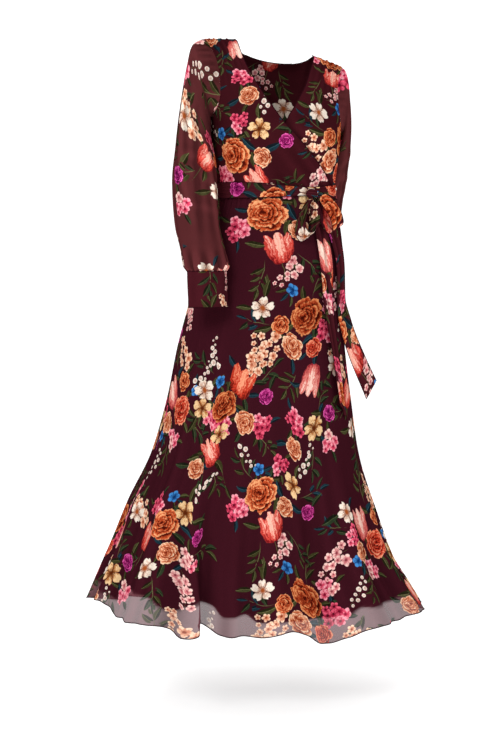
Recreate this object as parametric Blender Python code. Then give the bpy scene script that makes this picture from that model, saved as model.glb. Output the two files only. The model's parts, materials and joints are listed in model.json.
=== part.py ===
"""A maxi dress in its worn shape, empty: wrap-look bodice, sheer long sleeves, lined A-line skirt, tied sash.

Metres, +Z up. The front faces -Y and the wearer's left is +X. The origin lies midway between the two
neck-side shoulder points, where a wearer's shoulders hold the dress up.

Angles go round the body in degrees: 0 is centre front, +90 the wearer's left side seam, 180 centre back.
A level is a height on an upright figure. The shoulders' tilt is added to it, growing from the waist up.
Every piece is an open sheet of cloth, thickened by a Solidify modifier to the wall's thickness.
"""

import bmesh
import bpy
import numpy as np

# ---- driving dimensions, metres -------------------------------------------------------------------------

WALL = 0.0015  # thickness of one cloth wall
SEAM_TRIM = 0.0003  # each piece stops this far from a seam line that runs on smoothly
RIDGE_TRIM = 0.0004  # the same where two pieces meet at an angle, as on a shoulder or at the waist
SLEEVE_TRIM = 0.0007  # the same along a sleeve's seams, where its halves turn a sharp corner
LAYER = WALL + 0.0008  # from the middle of one wall to the middle of the wall that lies on it
BAND_LIFT = LAYER + 0.0008  # the sash's band over the waist seam

WAIST = -0.340  # level of the waist seam
HEM = -1.345  # mean level of the skirt's hem
SASH_TOP, SASH_BOTTOM = -0.322, -0.359
ARMHOLE_EASE = 0.0020  # the sleeve's seam edge stands this far out from the armhole's edge
KNOT_AT = (22.5, -0.349)  # angle and level of the sash's knot


def smooth(at, xs, ys):
    """A smooth curve through (xs, ys) that never overshoots its points. ys may hold one array for each x."""
    at = np.clip(np.asarray(at, float), xs[0], xs[-1])
    ys = np.asarray(ys, float)
    more = (1,) * (ys.ndim - 1)
    step = np.diff(xs).reshape(-1, *more)
    slope = np.diff(ys, axis=0) / step
    before, after = slope[:-1], slope[1:]
    turns = before * after <= 0
    weight = (step[:-1] + step[1:]) * 3
    inner = weight / (
        (2 * step[1:] + step[:-1]) / np.where(turns, 1, before)
        + (step[1:] + 2 * step[:-1]) / np.where(turns, 1, after)
    )
    tangent = np.concatenate([slope[:1], np.where(turns, 0, inner), slope[-1:]])
    i = np.clip(np.searchsorted(xs, at, side="right") - 1, 0, len(xs) - 2)
    h = step.reshape(-1)[i].reshape(at.shape + more)
    t = (at - xs[i]).reshape(at.shape + more) / h
    return (
        (1 + 2 * t) * (1 - t) ** 2 * ys[i]
        + t * (1 - t) ** 2 * h * tangent[i]
        + t * t * (3 - 2 * t) * ys[i + 1]
        + t * t * (t - 1) * h * tangent[i + 1]
    )


class Table:
    """Rows of named columns, read between the rows along a smooth curve. It is read by its first column."""

    def __init__(self, names, *rows):
        self.names = names.split()
        self.rows = np.array(rows, float)

    def __call__(self, name, at):
        return smooth(at, self.rows[:, 0], self.rows[:, self.names.index(name)])


def ease(x):
    """0 below 0, 1 above 1, and a smooth rise between."""
    x = np.clip(x, 0, 1)
    return x * x * (3 - 2 * x)


# ---- the figure that the cloth stands round ---------------------------------------------------------------

# One row for each level section: its half width, its depth to the front and to the back of the middle point,
# where that middle point is, and how far the section tilts sideways (metres down for each metre to the left).
BODY = Table(
    "level half_width front back middle_x middle_y tilt",
    (-1.420, 0.424, 0.292, 0.268, -0.040, 0.000, 0.00),
    (-1.345, 0.404, 0.284, 0.260, -0.041, 0.000, 0.00),
    (-1.289, 0.376, 0.275, 0.250, -0.045, 0.000, 0.00),
    (-1.195, 0.328, 0.255, 0.232, -0.053, 0.000, 0.00),
    (-1.076, 0.284, 0.232, 0.213, -0.051, 0.002, 0.00),
    (-0.958, 0.241, 0.206, 0.193, -0.041, 0.004, 0.00),
    (-0.839, 0.219, 0.182, 0.175, -0.033, 0.006, 0.00),
    (-0.720, 0.201, 0.160, 0.160, -0.028, 0.008, 0.00),
    (-0.610, 0.185, 0.140, 0.148, -0.015, 0.010, 0.00),
    (-0.500, 0.172, 0.122, 0.134, -0.001, 0.010, 0.00),
    (-0.420, 0.157, 0.109, 0.111, 0.004, 0.005, 0.00),
    (-0.340, 0.139, 0.096, 0.088, 0.006, 0.000, 0.00),
    (-0.285, 0.144, 0.110, 0.088, 0.006, 0.000, 0.03),
    (-0.215, 0.153, 0.127, 0.096, 0.005, 0.000, 0.07),
    (-0.165, 0.157, 0.118, 0.100, 0.004, 0.002, 0.10),
    (-0.110, 0.163, 0.096, 0.096, 0.003, 0.004, 0.13),
    (-0.060, 0.169, 0.070, 0.080, 0.003, 0.006, 0.15),
    (-0.025, 0.175, 0.045, 0.054, 0.003, 0.008, 0.16),
    (-0.007, 0.178, 0.024, 0.028, 0.003, 0.009, 0.17),
    (0.000, 0.179, 0.000, 0.000, 0.003, 0.010, 0.17),
)
SQUARENESS = 0.10  # how much fuller than an ellipse a section is between its front and its sides
NECK_HALF = 0.088  # from the middle to the neck-side end of a shoulder seam
SHOULDER_HALF = 0.160  # from the middle to a shoulder seam's outer end
SHOULDER_DROP = 0.013  # how far a shoulder seam falls from the neck to its outer end


def section(angle, level):
    """Points of the figure at these angles and levels, on the middle of an outermost cloth wall."""
    angle, level = np.broadcast_arrays(np.radians(angle), level)
    s, c = np.sin(angle), np.cos(angle)
    depth = np.where(c > 0, BODY("front", level), BODY("back", level))
    x = BODY("middle_x", level) + BODY("half_width", level) * s * (1 + SQUARENESS * c * c)
    y = BODY("middle_y", level) - depth * c * (1 + SQUARENESS * s * s)
    near_shoulder = ease(1 + level / 0.06)
    past_neck = np.maximum(np.abs(x) - NECK_HALF, 0) / (SHOULDER_HALF - NECK_HALF)
    z = level - BODY("tilt", level) * x - SHOULDER_DROP * near_shoulder * past_neck
    return np.stack([x, y, z], axis=-1)


def unit(vectors):
    return vectors / np.linalg.norm(vectors, axis=-1, keepdims=True)


def axes_at(angle, level):
    """Three directions on the figure: round it towards the wearer's left, up it, and straight out of it."""
    around = unit(section(angle + 0.5, level) - section(angle - 0.5, level))
    up = section(angle, level + 0.002) - section(angle, level - 0.002)
    out = unit(np.cross(around, up))
    return around, unit(np.cross(out, around)), out


def on_body(angle, level, lift=0.0):
    """Points of the figure, lifted straight out of its surface."""
    angle, level, lift = np.broadcast_arrays(np.asarray(angle, float), level, lift)
    return section(angle, level) + axes_at(angle, level)[2] * lift[..., None]


# ---- turning sheets of points into cloth ------------------------------------------------------------------


def material(name, colour, roughness, alpha=1.0):
    made = bpy.data.materials.new(name)
    made.use_nodes = True
    shader = made.node_tree.nodes["Principled BSDF"]
    shader.inputs["Base Color"].default_value = (*colour, 1)
    shader.inputs["Roughness"].default_value = roughness
    shader.inputs["Metallic"].default_value = 0
    shader.inputs["Alpha"].default_value = alpha
    return made


def cloth(name, points, finish, closed=False, wall=WALL):
    """A cloth piece from a grid of points, rows by columns. Rows run up and columns towards the wearer's
    left, as seen from outside. A closed piece joins its last column to its first."""
    rows, columns = points.shape[:2]
    mesh = bpy.data.meshes.new(name)
    spans = columns if closed else columns - 1
    faces = []
    for r in range(rows - 1):
        for c in range(spans):
            following = (c + 1) % columns
            faces.append(
                (
                    r * columns + c,
                    r * columns + following,
                    (r + 1) * columns + following,
                    (r + 1) * columns + c,
                )
            )
    mesh.from_pydata(points.reshape(-1, 3).tolist(), [], faces)
    mesh.shade_smooth()
    mesh.materials.append(finish)
    piece = bpy.data.objects.new(name, mesh)
    bpy.context.scene.collection.objects.link(piece)
    thicken = piece.modifiers.new("wall", "SOLIDIFY")
    thicken.thickness = wall
    thicken.offset = 0
    thicken.use_even_offset = False
    return piece


def steps(count, power=1.0):
    """0 to 1 in this many equal steps, bunched towards 1 where power is under 1."""
    return np.linspace(0, 1, count + 1) ** power


# ---- bodice -----------------------------------------------------------------------------------------------

# The wearer's right front. Up the piece, from 0 at the waist to 1 on the shoulder seam: where its side (the
# side seam, then the armhole) and its free edge (the wrap edge, then the neckline) run.
FRONT_EDGES = Table(
    "up side_angle side_level edge_angle edge_level",
    (0.00, -90.0, WAIST, 61.0, WAIST),
    (0.20, -90.0, -0.287, 36.0, -0.288),
    (0.38, -90.0, -0.232, 15.0, -0.237),
    (0.53, -90.0, -0.187, 0.5, -0.192),
    (0.58, -81.0, -0.180, -4.0, -0.170),
    (0.64, -68.0, -0.163, -9.0, -0.148),
    (0.72, -58.5, -0.128, -15.5, -0.116),
    (0.81, -56.0, -0.082, -22.0, -0.078),
    (0.90, -59.0, -0.038, -26.5, -0.038),
    (0.96, -62.5, -0.012, -28.5, -0.012),
    (1.00, -64.5, 0.000, -29.0, 0.000),
)
# The back, the same way: its side is the side seam and armhole, and both sides mirror one another.
BACK_EDGES = Table(
    "up side_angle side_level",
    (0.00, 90.0, WAIST),
    (0.30, 90.0, -0.262),
    (0.53, 90.0, -0.187),
    (0.58, 98.0, -0.180),
    (0.64, 108.0, -0.163),
    (0.72, 117.0, -0.128),
    (0.81, 121.0, -0.082),
    (0.90, 119.0, -0.038),
    (0.96, 117.0, -0.012),
    (1.00, 115.5, 0.000),
)
BACK_NECK_DIP = 0.030  # how far the back neckline dips below the shoulder seams
SHOULDER_GATHERS = 5  # soft tucks along each front's shoulder seam
GATHER_HEIGHT = 0.0022
NECK_SHIFT = 2.3  # how many degrees the V of the neckline sits towards the wearer's right
UNDER_LAYER = 0.0042  # how far the under front sinks below the top one
BODICE_LENGTH = 0.36  # along the cloth, from the waist seam to the shoulder seam


def up_the_piece(rows):
    """Heights up a bodice piece, from 0 at the waist seam to 1 on the shoulder, less the trim at both ends."""
    trim = RIDGE_TRIM / BODICE_LENGTH
    return (trim + (1 - 2 * trim) * steps(rows))[:, None]


def degrees_of(metres, angle, level):
    """How many degrees round the figure this distance is."""
    per_degree = np.linalg.norm(section(angle + 0.5, level) - section(angle - 0.5, level), axis=-1)
    return metres / per_degree


def front_sheet(hand, columns, rows):
    """A front bodice piece. hand is 1 for the wearer's right front, on top, and -1 for the left, under it."""
    up = up_the_piece(rows)
    across = steps(columns)[None, :]
    side_level, edge_level = FRONT_EDGES("side_level", up), FRONT_EDGES("edge_level", up)
    side_angle = FRONT_EDGES("side_angle", up)
    side_angle = side_angle + degrees_of(SEAM_TRIM, side_angle, side_level - 1e-4)
    shifted = ease((up - 0.45) / 0.15) * (1 - ease((up - 0.85) / 0.15))
    edge_angle = FRONT_EDGES("edge_angle", up) - hand * NECK_SHIFT * shifted
    angle = side_angle + (edge_angle - side_angle) * across
    level = side_level + (edge_level - side_level) * across
    below_seam = ease(1 - (1 - up) / 0.30)
    inside = np.sin(np.pi * across) ** 0.5
    lift = GATHER_HEIGHT * below_seam * inside * np.cos(2 * np.pi * SHOULDER_GATHERS * across)
    if hand > 0:
        return on_body(angle, level, lift)
    # The under piece sinks where the top piece's edge comes near, and stays sunk below it.
    top_edge = np.interp(level, FRONT_EDGES.rows[:, 4], FRONT_EDGES.rows[:, 3])
    beyond = ease((-angle - top_edge) / 9.0)
    sunk = UNDER_LAYER * (1 - beyond) * ease((-0.10 - level) / 0.05)
    return on_body(-angle, level, lift - sunk)[:, ::-1]


def back_sheet(columns, rows):
    up = up_the_piece(rows)
    across = steps(columns)[None, :]
    side_level = BACK_EDGES("side_level", up)
    side_angle = BACK_EDGES("side_angle", up)
    side_angle = side_angle + degrees_of(SEAM_TRIM, side_angle, side_level - 1e-4)
    angle = side_angle + (360 - 2 * side_angle) * across
    neck_angle = 180 - np.degrees(np.arcsin(NECK_HALF / 0.179))
    from_middle = np.abs(angle - 180) / (180 - neck_angle)
    dip = BACK_NECK_DIP * np.sqrt(np.clip(1 - from_middle**2, 0, 1))
    return on_body(angle, side_level - dip * up**4)


# ---- skirt and lining -------------------------------------------------------------------------------------

# The soft folds of the skirt, one row each: where its crest meets the hem, its half width in degrees, how far
# it stands out (or in, below 0) at the hem, the level where it starts, how far its crest leans sideways at
# the hem, and by how many degrees it has wandered by the time it gets there.
FOLDS = (
    # angle, half_width, height, start_level, lean, wander
    (-84, 9, 0.016, -0.75, 0.000, 2),
    (-66, 9, -0.020, -0.80, 0.000, 4),
    (-50, 9, 0.026, -0.70, 0.000, 6),
    (-40, 4.5, -0.010, -0.95, 0.000, 4),
    (-33, 4.4, 0.040, -0.90, 0.052, 6),
    (-25, 4, -0.022, -1.00, -0.004, 5),
    (-12, 5, -0.012, -0.95, 0.000, 3),
    (0, 8, 0.022, -0.85, 0.000, 1),
    (14, 8, -0.018, -0.80, 0.000, -1),
    (31, 8, 0.030, -0.80, 0.000, -3),
    (47, 9, -0.014, -0.90, 0.000, -4),
    (64, 10, 0.014, -0.85, 0.000, -4),
    (80, 8, -0.012, -0.95, 0.000, -2),
    (97, 9, 0.018, -0.75, 0.000, -2),
    (113, 8, -0.020, -0.80, 0.000, 2),
    (128, 9, 0.030, -0.65, 0.000, 2),
    (143, 8, -0.022, -0.75, 0.000, 2),
    (158, 9, 0.028, -0.70, 0.008, 2),
    (173, 8, -0.024, -0.70, 0.000, 0),
    (188, 9, 0.030, -0.60, 0.000, 0),
    (204, 9, -0.022, -0.75, 0.000, -2),
    (219, 9, 0.026, -0.65, -0.008, -2),
    (234, 8, -0.020, -0.80, 0.000, -2),
    (249, 9, 0.024, -0.70, 0.000, -2),
    (263, 7, -0.012, -0.85, 0.000, -1),
)
# The hem's level round the skirt, from the wearer's right side, over the front, to the right side again.
HEM_LINE = Table(
    "angle level",
    (-90, -1.289),
    (-80, -1.287),
    (-74, -1.297),
    (-67, -1.315),
    (-58, -1.313),
    (-50, -1.312),
    (-42, -1.317),
    (-38, -1.322),
    (-36, -1.338),
    (-32, -1.328),
    (-29, -1.315),
    (-26, -1.312),
    (-23, -1.319),
    (-19, -1.335),
    (-15, -1.341),
    (-12, -1.338),
    (-7, -1.341),
    (-2, -1.333),
    (2, -1.328),
    (7, -1.340),
    (12, -1.364),
    (15, -1.366),
    (20, -1.354),
    (27, -1.336),
    (33, -1.329),
    (45, -1.333),
    (60, -1.325),
    (75, -1.331),
    (90, -1.336),
    (135, -1.350),
    (180, -1.352),
    (225, -1.332),
    (270, -1.289),
)
# The level of the lining's own hem, round the skirt in the same way. It stops short of the sheer hem.
LINING_HEM_LINE = Table(
    "angle level",
    (-90, -1.262),
    (-78, -1.272),
    (-71, -1.281),
    (-67, -1.257),
    (-56, -1.251),
    (-48, -1.254),
    (-43, -1.276),
    (-39, -1.286),
    (-35, -1.268),
    (-31, -1.262),
    (-26, -1.266),
    (-22, -1.273),
    (-18, -1.298),
    (-15, -1.299),
    (-11, -1.292),
    (-7, -1.309),
    (1, -1.307),
    (8, -1.308),
    (17, -1.309),
    (22, -1.306),
    (28, -1.286),
    (33, -1.289),
    (48, -1.290),
    (57, -1.283),
    (75, -1.286),
    (90, -1.288),
    (135, -1.298),
    (180, -1.302),
    (225, -1.280),
    (270, -1.262),
)


def skirt_point(angle, level, lift=0.0, share=1.0, lean_share=1.0):
    """Points of the skirt at these levels, with these shares of its folds' depth and sideways lean."""
    push = np.zeros(np.broadcast(angle, level).shape)
    slide = np.zeros_like(push)
    for crest, half_width, height, start, lean, wander in FOLDS:
        grown = ease((start - level) / (start - HEM))
        away = (angle - crest + wander * (1 - grown) + 180) % 360 - 180
        ridge = np.exp(-((away / half_width) ** 2)) * grown
        push = push + height * ridge
        slide = slide + lean * ridge * grown
    around, _, out = axes_at(angle, level)
    flat_out = unit(out * (1, 1, 0))
    moved = flat_out * (push * share + lift)[..., None] + around * (slide * lean_share)[..., None]
    return section(angle, level) + moved


def skirt_sheet(first, last, columns, rows, hem_line=HEM_LINE, top_lift=0.0, hem_lift=0.0, **shares):
    """Part of the skirt or of its lining between two angles, from the waist down to its hem."""
    across = steps(columns)[None, :]
    angle = first + (last - first) * across
    hem = hem_line("level", angle)
    down = steps(rows, 1.5)[::-1, None]
    level = WAIST - RIDGE_TRIM + (hem - WAIST + RIDGE_TRIM) * down
    angle = angle + degrees_of(SEAM_TRIM, first, level) * (1 - 2 * across)
    lift = top_lift + (hem_lift - top_lift) * ease(down / 0.12)
    return skirt_point(angle, level, lift, **shares)


# ---- sleeves and cuffs ------------------------------------------------------------------------------------

# One row for each ring of a sleeve, along the arm: its point farthest from the body, its point nearest the
# body, and half its depth from front to back.
SLEEVE_ROWS = "along outer_x outer_y outer_z inner_x inner_y inner_z half_fore"
RIGHT_SLEEVE = Table(
    SLEEVE_ROWS,
    (0.10, -0.192, 0.002, -0.002, -0.1590, 0.000, -0.182, 0.059),
    (0.22, -0.207, -0.002, -0.055, -0.1555, -0.004, -0.206, 0.061),
    (0.34, -0.221, -0.010, -0.130, -0.1525, -0.010, -0.238, 0.058),
    (0.48, -0.237, -0.034, -0.230, -0.1490, -0.026, -0.280, 0.054),
    (0.62, -0.247, -0.066, -0.325, -0.1480, -0.046, -0.345, 0.051),
    (0.76, -0.245, -0.102, -0.415, -0.1485, -0.070, -0.420, 0.047),
    (0.88, -0.239, -0.136, -0.480, -0.1410, -0.094, -0.480, 0.043),
    (0.96, -0.237, -0.152, -0.514, -0.1360, -0.104, -0.514, 0.040),
    (1.00, -0.231, -0.155, -0.526, -0.1400, -0.110, -0.526, 0.033),
)
LEFT_SLEEVE = Table(
    SLEEVE_ROWS,
    (0.10, 0.172, 0.012, -0.048, 0.1660, 0.012, -0.206, 0.056),
    (0.22, 0.183, 0.026, -0.106, 0.1620, 0.024, -0.232, 0.056),
    (0.34, 0.192, 0.058, -0.190, 0.1480, 0.046, -0.262, 0.054),
    (0.48, 0.193, 0.108, -0.285, 0.1260, 0.070, -0.305, 0.052),
    (0.62, 0.187, 0.150, -0.362, 0.1180, 0.096, -0.365, 0.051),
    (0.76, 0.183, 0.176, -0.440, 0.1180, 0.118, -0.440, 0.050),
    (0.88, 0.182, 0.190, -0.500, 0.1200, 0.130, -0.500, 0.049),
    (0.96, 0.182, 0.196, -0.538, 0.1210, 0.136, -0.538, 0.048),
    (1.00, 0.180, 0.194, -0.550, 0.1250, 0.142, -0.550, 0.041),
)
# A cuff's lower edge, in the same columns after the first.
RIGHT_CUFF_END = (-0.230, -0.163, -0.608, -0.1380, -0.118, -0.608, 0.032)
LEFT_CUFF_END = (0.182, 0.200, -0.632, 0.1270, 0.148, -0.632, 0.041)
CUFF_GAP = 0.0005  # from the sleeve's last ring to the cuff's top ring
CUFF_GATHERS = 9
CUFF_GATHER_HEIGHT = 0.0030


def armhole_ring(hand, turns):
    """The armhole's edge at these turns of a ring: 0 on the shoulder, a quarter at the front, a half at the
    underarm. The levels are spaced so that the points lie about evenly along it."""
    front = turns <= 0.5
    share = np.where(front, turns, 1 - turns) * 2  # 0 on the shoulder, 1 at the underarm

    up = 1 - (1 - FRONT_EDGES.rows[3, 0]) * share
    front_ring = section(hand * FRONT_EDGES("side_angle", up), FRONT_EDGES("side_level", up))
    back_ring = section(hand * -BACK_EDGES("side_angle", up), BACK_EDGES("side_level", up))
    return np.where(front[:, None], front_ring, back_ring)


def arm_ring(side, turns, outer_x, outer_y, outer_z, inner_x, inner_y, inner_z, half_fore):
    """An oval ring round the arm. side is -1 on the wearer's right and 1 on the left."""
    outer = np.array([outer_x, outer_y, outer_z])
    inner = np.array([inner_x, inner_y, inner_z])
    half_out = (outer - inner) / 2
    fore = unit(side * np.array([half_out[1], -half_out[0], 0])) * half_fore
    around = 2 * np.pi * turns[:, None]
    return (outer + inner) / 2 + half_out * np.cos(around) + fore * np.sin(around)


def sleeve_sheet(side, table, half, columns, rows):
    """A sleeve's front half (0) or back half (1), its rows from the cuff's seam up to the armhole. The halves
    meet along the underarm seam and along the top of the arm."""
    turns = np.arange(columns) / columns
    rings = [armhole_ring(-side, turns) + np.array([side * ARMHOLE_EASE, 0, 0])]
    rings += [arm_ring(side, turns, *row[1:]) for row in table.rows]
    places = np.concatenate([[0], table.rows[:, 0]])
    along = steps(rows)
    sheet = smooth(along, places, np.array(rings))
    gathered = ease((along - 0.88) / 0.08) * (1 - ease((along - 0.96) / 0.04))
    wave = CUFF_GATHER_HEIGHT * gathered[:, None] * np.cos(2 * np.pi * CUFF_GATHERS * turns)
    sheet = sheet + unit(sheet - sheet.mean(axis=1, keepdims=True)) * wave[..., None]
    first = half * columns // 2
    sheet = np.concatenate([sheet, sheet[:, :1]], axis=1)[::-1, first : first + columns // 2 + 1]
    for seam, inner in ((0, 1), (-1, -2)):
        sheet[:, seam] += SLEEVE_TRIM * unit(sheet[:, inner] - sheet[:, seam])
    return sheet if side < 0 else sheet[:, ::-1]


def cuff_sheet(side, table, end, columns):
    """A cuff, from its lower edge up to the sleeve's seam."""
    turns = np.arange(columns) / columns
    low = arm_ring(side, turns, *end)
    top = arm_ring(side, turns, *table.rows[-1][1:]) - (0, 0, CUFF_GAP)
    sheet = np.array([low, (low + top) / 2, top])
    return sheet if side < 0 else sheet[:, ::-1]


# ---- sash -------------------------------------------------------------------------------------------------

RIBBON_ROWS = "along angle level lift width across tilt"
# A ribbon's middle line runs over the figure, lifted out of it. across is the slope of its width on the
# figure (0 is level, 90 is upright), and tilt turns that width out of the surface.
LOOP_LEFT = Table(
    RIBBON_ROWS,
    (0.00, 20.4, -0.3640, 0.0190, 0.014, 10, 0),
    (0.14, 15.4, -0.3800, 0.0220, 0.028, 40, 40),
    (0.28, 11.2, -0.4060, 0.0230, 0.036, 42, 50),
    (0.40, 9.6, -0.4310, 0.0230, 0.037, 46, 52),
    (0.50, 13.4, -0.4500, 0.0230, 0.037, 58, 54),
    (0.60, 18.0, -0.4440, 0.0230, 0.037, 52, 54),
    (0.72, 20.6, -0.4230, 0.0240, 0.036, 42, 50),
    (0.86, 21.6, -0.3920, 0.0230, 0.028, 32, 36),
    (1.00, 20.6, -0.3624, 0.0140, 0.014, 10, 0),
)
LOOP_RIGHT = Table(
    RIBBON_ROWS,
    (0.00, 28.45, -0.3492, 0.0165, 0.014, 75, 0),
    (0.18, 35.5, -0.3720, 0.0250, 0.034, 50, 0),
    (0.34, 41.0, -0.4020, 0.0290, 0.042, 32, 0),
    (0.44, 42.5, -0.4250, 0.0280, 0.044, 28, 0),
    (0.50, 41.0, -0.4330, 0.0220, 0.044, 26, 0),
    (0.57, 37.5, -0.4250, 0.0160, 0.042, 26, 0),
    (0.70, 34.0, -0.4030, 0.0145, 0.038, 28, 0),
    (0.86, 31.0, -0.3720, 0.0135, 0.028, 50, 0),
    (1.00, 29.3, -0.3510, 0.0130, 0.014, 75, 0),
)
TAIL_LONG = Table(
    RIBBON_ROWS,
    (0.00, 25.0, -0.3594, 0.0100, 0.014, 0, 0),
    (0.12, 29.0, -0.4150, 0.0074, 0.030, -3, 6),
    (0.28, 33.5, -0.5000, 0.0060, 0.036, -4, 4),
    (0.46, 36.5, -0.6000, 0.0070, 0.034, -4, -8),
    (0.70, 43.0, -0.7200, 0.0085, 0.036, -8, -16),
    (1.00, 45.0, -0.8700, 0.0090, 0.038, -8, -18),
)
TAIL_SIDE = Table(
    RIBBON_ROWS,
    (0.00, 28.6, -0.3590, 0.0078, 0.016, 10, 0),
    (0.14, 42.5, -0.4200, 0.0042, 0.034, 20, 0),
    (0.32, 53.0, -0.5000, 0.0042, 0.040, 14, 0),
    (0.50, 55.5, -0.5900, 0.0046, 0.040, 2, 4),
    (0.60, 57.5, -0.6420, 0.0110, 0.041, -8, 26),
    (0.78, 66.5, -0.7250, 0.0270, 0.044, -18, 52),
    (1.00, 74.0, -0.8380, 0.0590, 0.047, -24, 70),
)
SASH_FLARE = 0.0018  # how much farther out the band's lower edge stands than its upper one
KNOT_HALF = (0.015, 0.011, 0.010)  # the knot's half sizes round, up and out of the figure


def sash_sheet(columns, rows):
    angle = (360 * np.arange(columns) / columns)[None, :]
    up = steps(rows)[:, None]
    near_knot = np.exp(-((((angle - KNOT_AT[0] + 180) % 360 - 180) / 34.0) ** 2))
    low = SASH_BOTTOM + 0.006 * near_knot
    high = SASH_TOP - 0.010 * near_knot
    level = low + (high - low) * up
    return on_body(angle, level, BAND_LIFT + SASH_FLARE * (1 - up))


def ribbon_sheet(table, columns, rows, slant=0.0):
    """A length of sash. A slant cuts its end on a slope, by that share of its length: above 0 it is shorter on
    the side towards the wearer's right, below 0 on the other."""
    side = np.linspace(-1, 1, columns + 1)[None, :]
    along = steps(rows)[:, None] * (1 - abs(slant) * (1 - np.sign(slant) * side) / 2)
    read = {name: table(name, along) for name in table.names[1:]}
    centre = on_body(read["angle"], read["level"], read["lift"])
    around, up, out = axes_at(read["angle"], read["level"])
    across, tilt = np.radians(read["across"])[..., None], np.radians(read["tilt"])[..., None]
    width = np.cos(tilt) * (np.cos(across) * around + np.sin(across) * up) + np.sin(tilt) * out
    return (centre + width * (side * read["width"] / 2)[..., None])[::-1]


def knot_mesh(name, finish):
    """The sash's knot, a rounded lump drawn in at its waist where the ribbon wraps it."""
    mesh = bpy.data.meshes.new(name)
    shape = bmesh.new()
    bmesh.ops.create_uvsphere(shape, u_segments=16, v_segments=10, radius=1)
    angle, level = (np.array(value) for value in KNOT_AT)
    around, up, out = axes_at(angle, level)
    half_round, half_up, half_out = KNOT_HALF
    centre = on_body(angle, level, BAND_LIFT + SASH_FLARE + WALL / 2 + 0.0002 + half_out)
    for point in shape.verts:
        a, o, u = point.co
        full = 1 - 0.12 * (1 - abs(u)) * abs(a) ** 0.5
        place = centre + around * a * half_round + up * u * half_up * full - out * o * half_out
        point.co = place
    shape.to_mesh(mesh)
    shape.free()
    mesh.shade_smooth()
    mesh.materials.append(finish)
    piece = bpy.data.objects.new(name, mesh)
    bpy.context.scene.collection.objects.link(piece)
    return piece


# ---- the dress --------------------------------------------------------------------------------------------


def main():
    for startup in list(bpy.data.objects):
        bpy.data.objects.remove(startup)

    printed = material("printed_chiffon", (0.045, 0.011, 0.016), 0.75)
    sheer = material("sheer_chiffon", (0.110, 0.035, 0.035), 0.75, alpha=0.85)
    lining = material("lining", (0.030, 0.008, 0.013), 0.6)
    sash = material("sash_chiffon", (0.050, 0.014, 0.019), 0.7)

    cloth("bodice_front_right", front_sheet(1, 12, 12), printed)
    cloth("bodice_front_left", front_sheet(-1, 12, 12), printed)
    cloth("bodice_back", back_sheet(16, 10), printed)
    cloth("skirt_front", skirt_sheet(-90, 90, 60, 10), printed)
    cloth("skirt_back", skirt_sheet(90, 270, 40, 10), printed)
    inside = {"hem_line": LINING_HEM_LINE, "top_lift": -LAYER, "hem_lift": -0.012, "share": 0.90, "lean_share": 0.65}
    cloth("lining_front", skirt_sheet(-90, 90, 60, 10, **inside), lining)
    cloth("lining_back", skirt_sheet(90, 270, 40, 10, **inside), lining)
    for side, name, table, end in (
        (-1, "right", RIGHT_SLEEVE, RIGHT_CUFF_END),
        (1, "left", LEFT_SLEEVE, LEFT_CUFF_END),
    ):
        for half, place in ((0, "_front"), (1, "_back")):
            cloth("sleeve_" + name + place, sleeve_sheet(side, table, half, 24, 11), sheer)
        cloth("cuff_" + name, cuff_sheet(side, table, end, 24), printed, closed=True)
    cloth("sash_band", sash_sheet(48, 2), sash, closed=True)
    knot_mesh("sash_knot", sash)
    cloth("sash_loop_left", ribbon_sheet(LOOP_LEFT, 3, 16), sash)
    cloth("sash_loop_right", ribbon_sheet(LOOP_RIGHT, 3, 16), sash)
    cloth("sash_tail_long", ribbon_sheet(TAIL_LONG, 3, 12, slant=0.06), sash)
    cloth("sash_tail_side", ribbon_sheet(TAIL_SIDE, 3, 12, slant=-0.09), sash)


main()
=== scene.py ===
"""A maxi dress in its worn shape, empty, in sheer printed chiffon, dressed for a studio picture.

Metres, +Z up. The front faces -Y and the wearer's left is +X. Cloth pieces are thin shells on the form of the
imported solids. The print is worked out in each piece's flat cloth coordinates from a table of one repeat.
"""

import json

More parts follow.
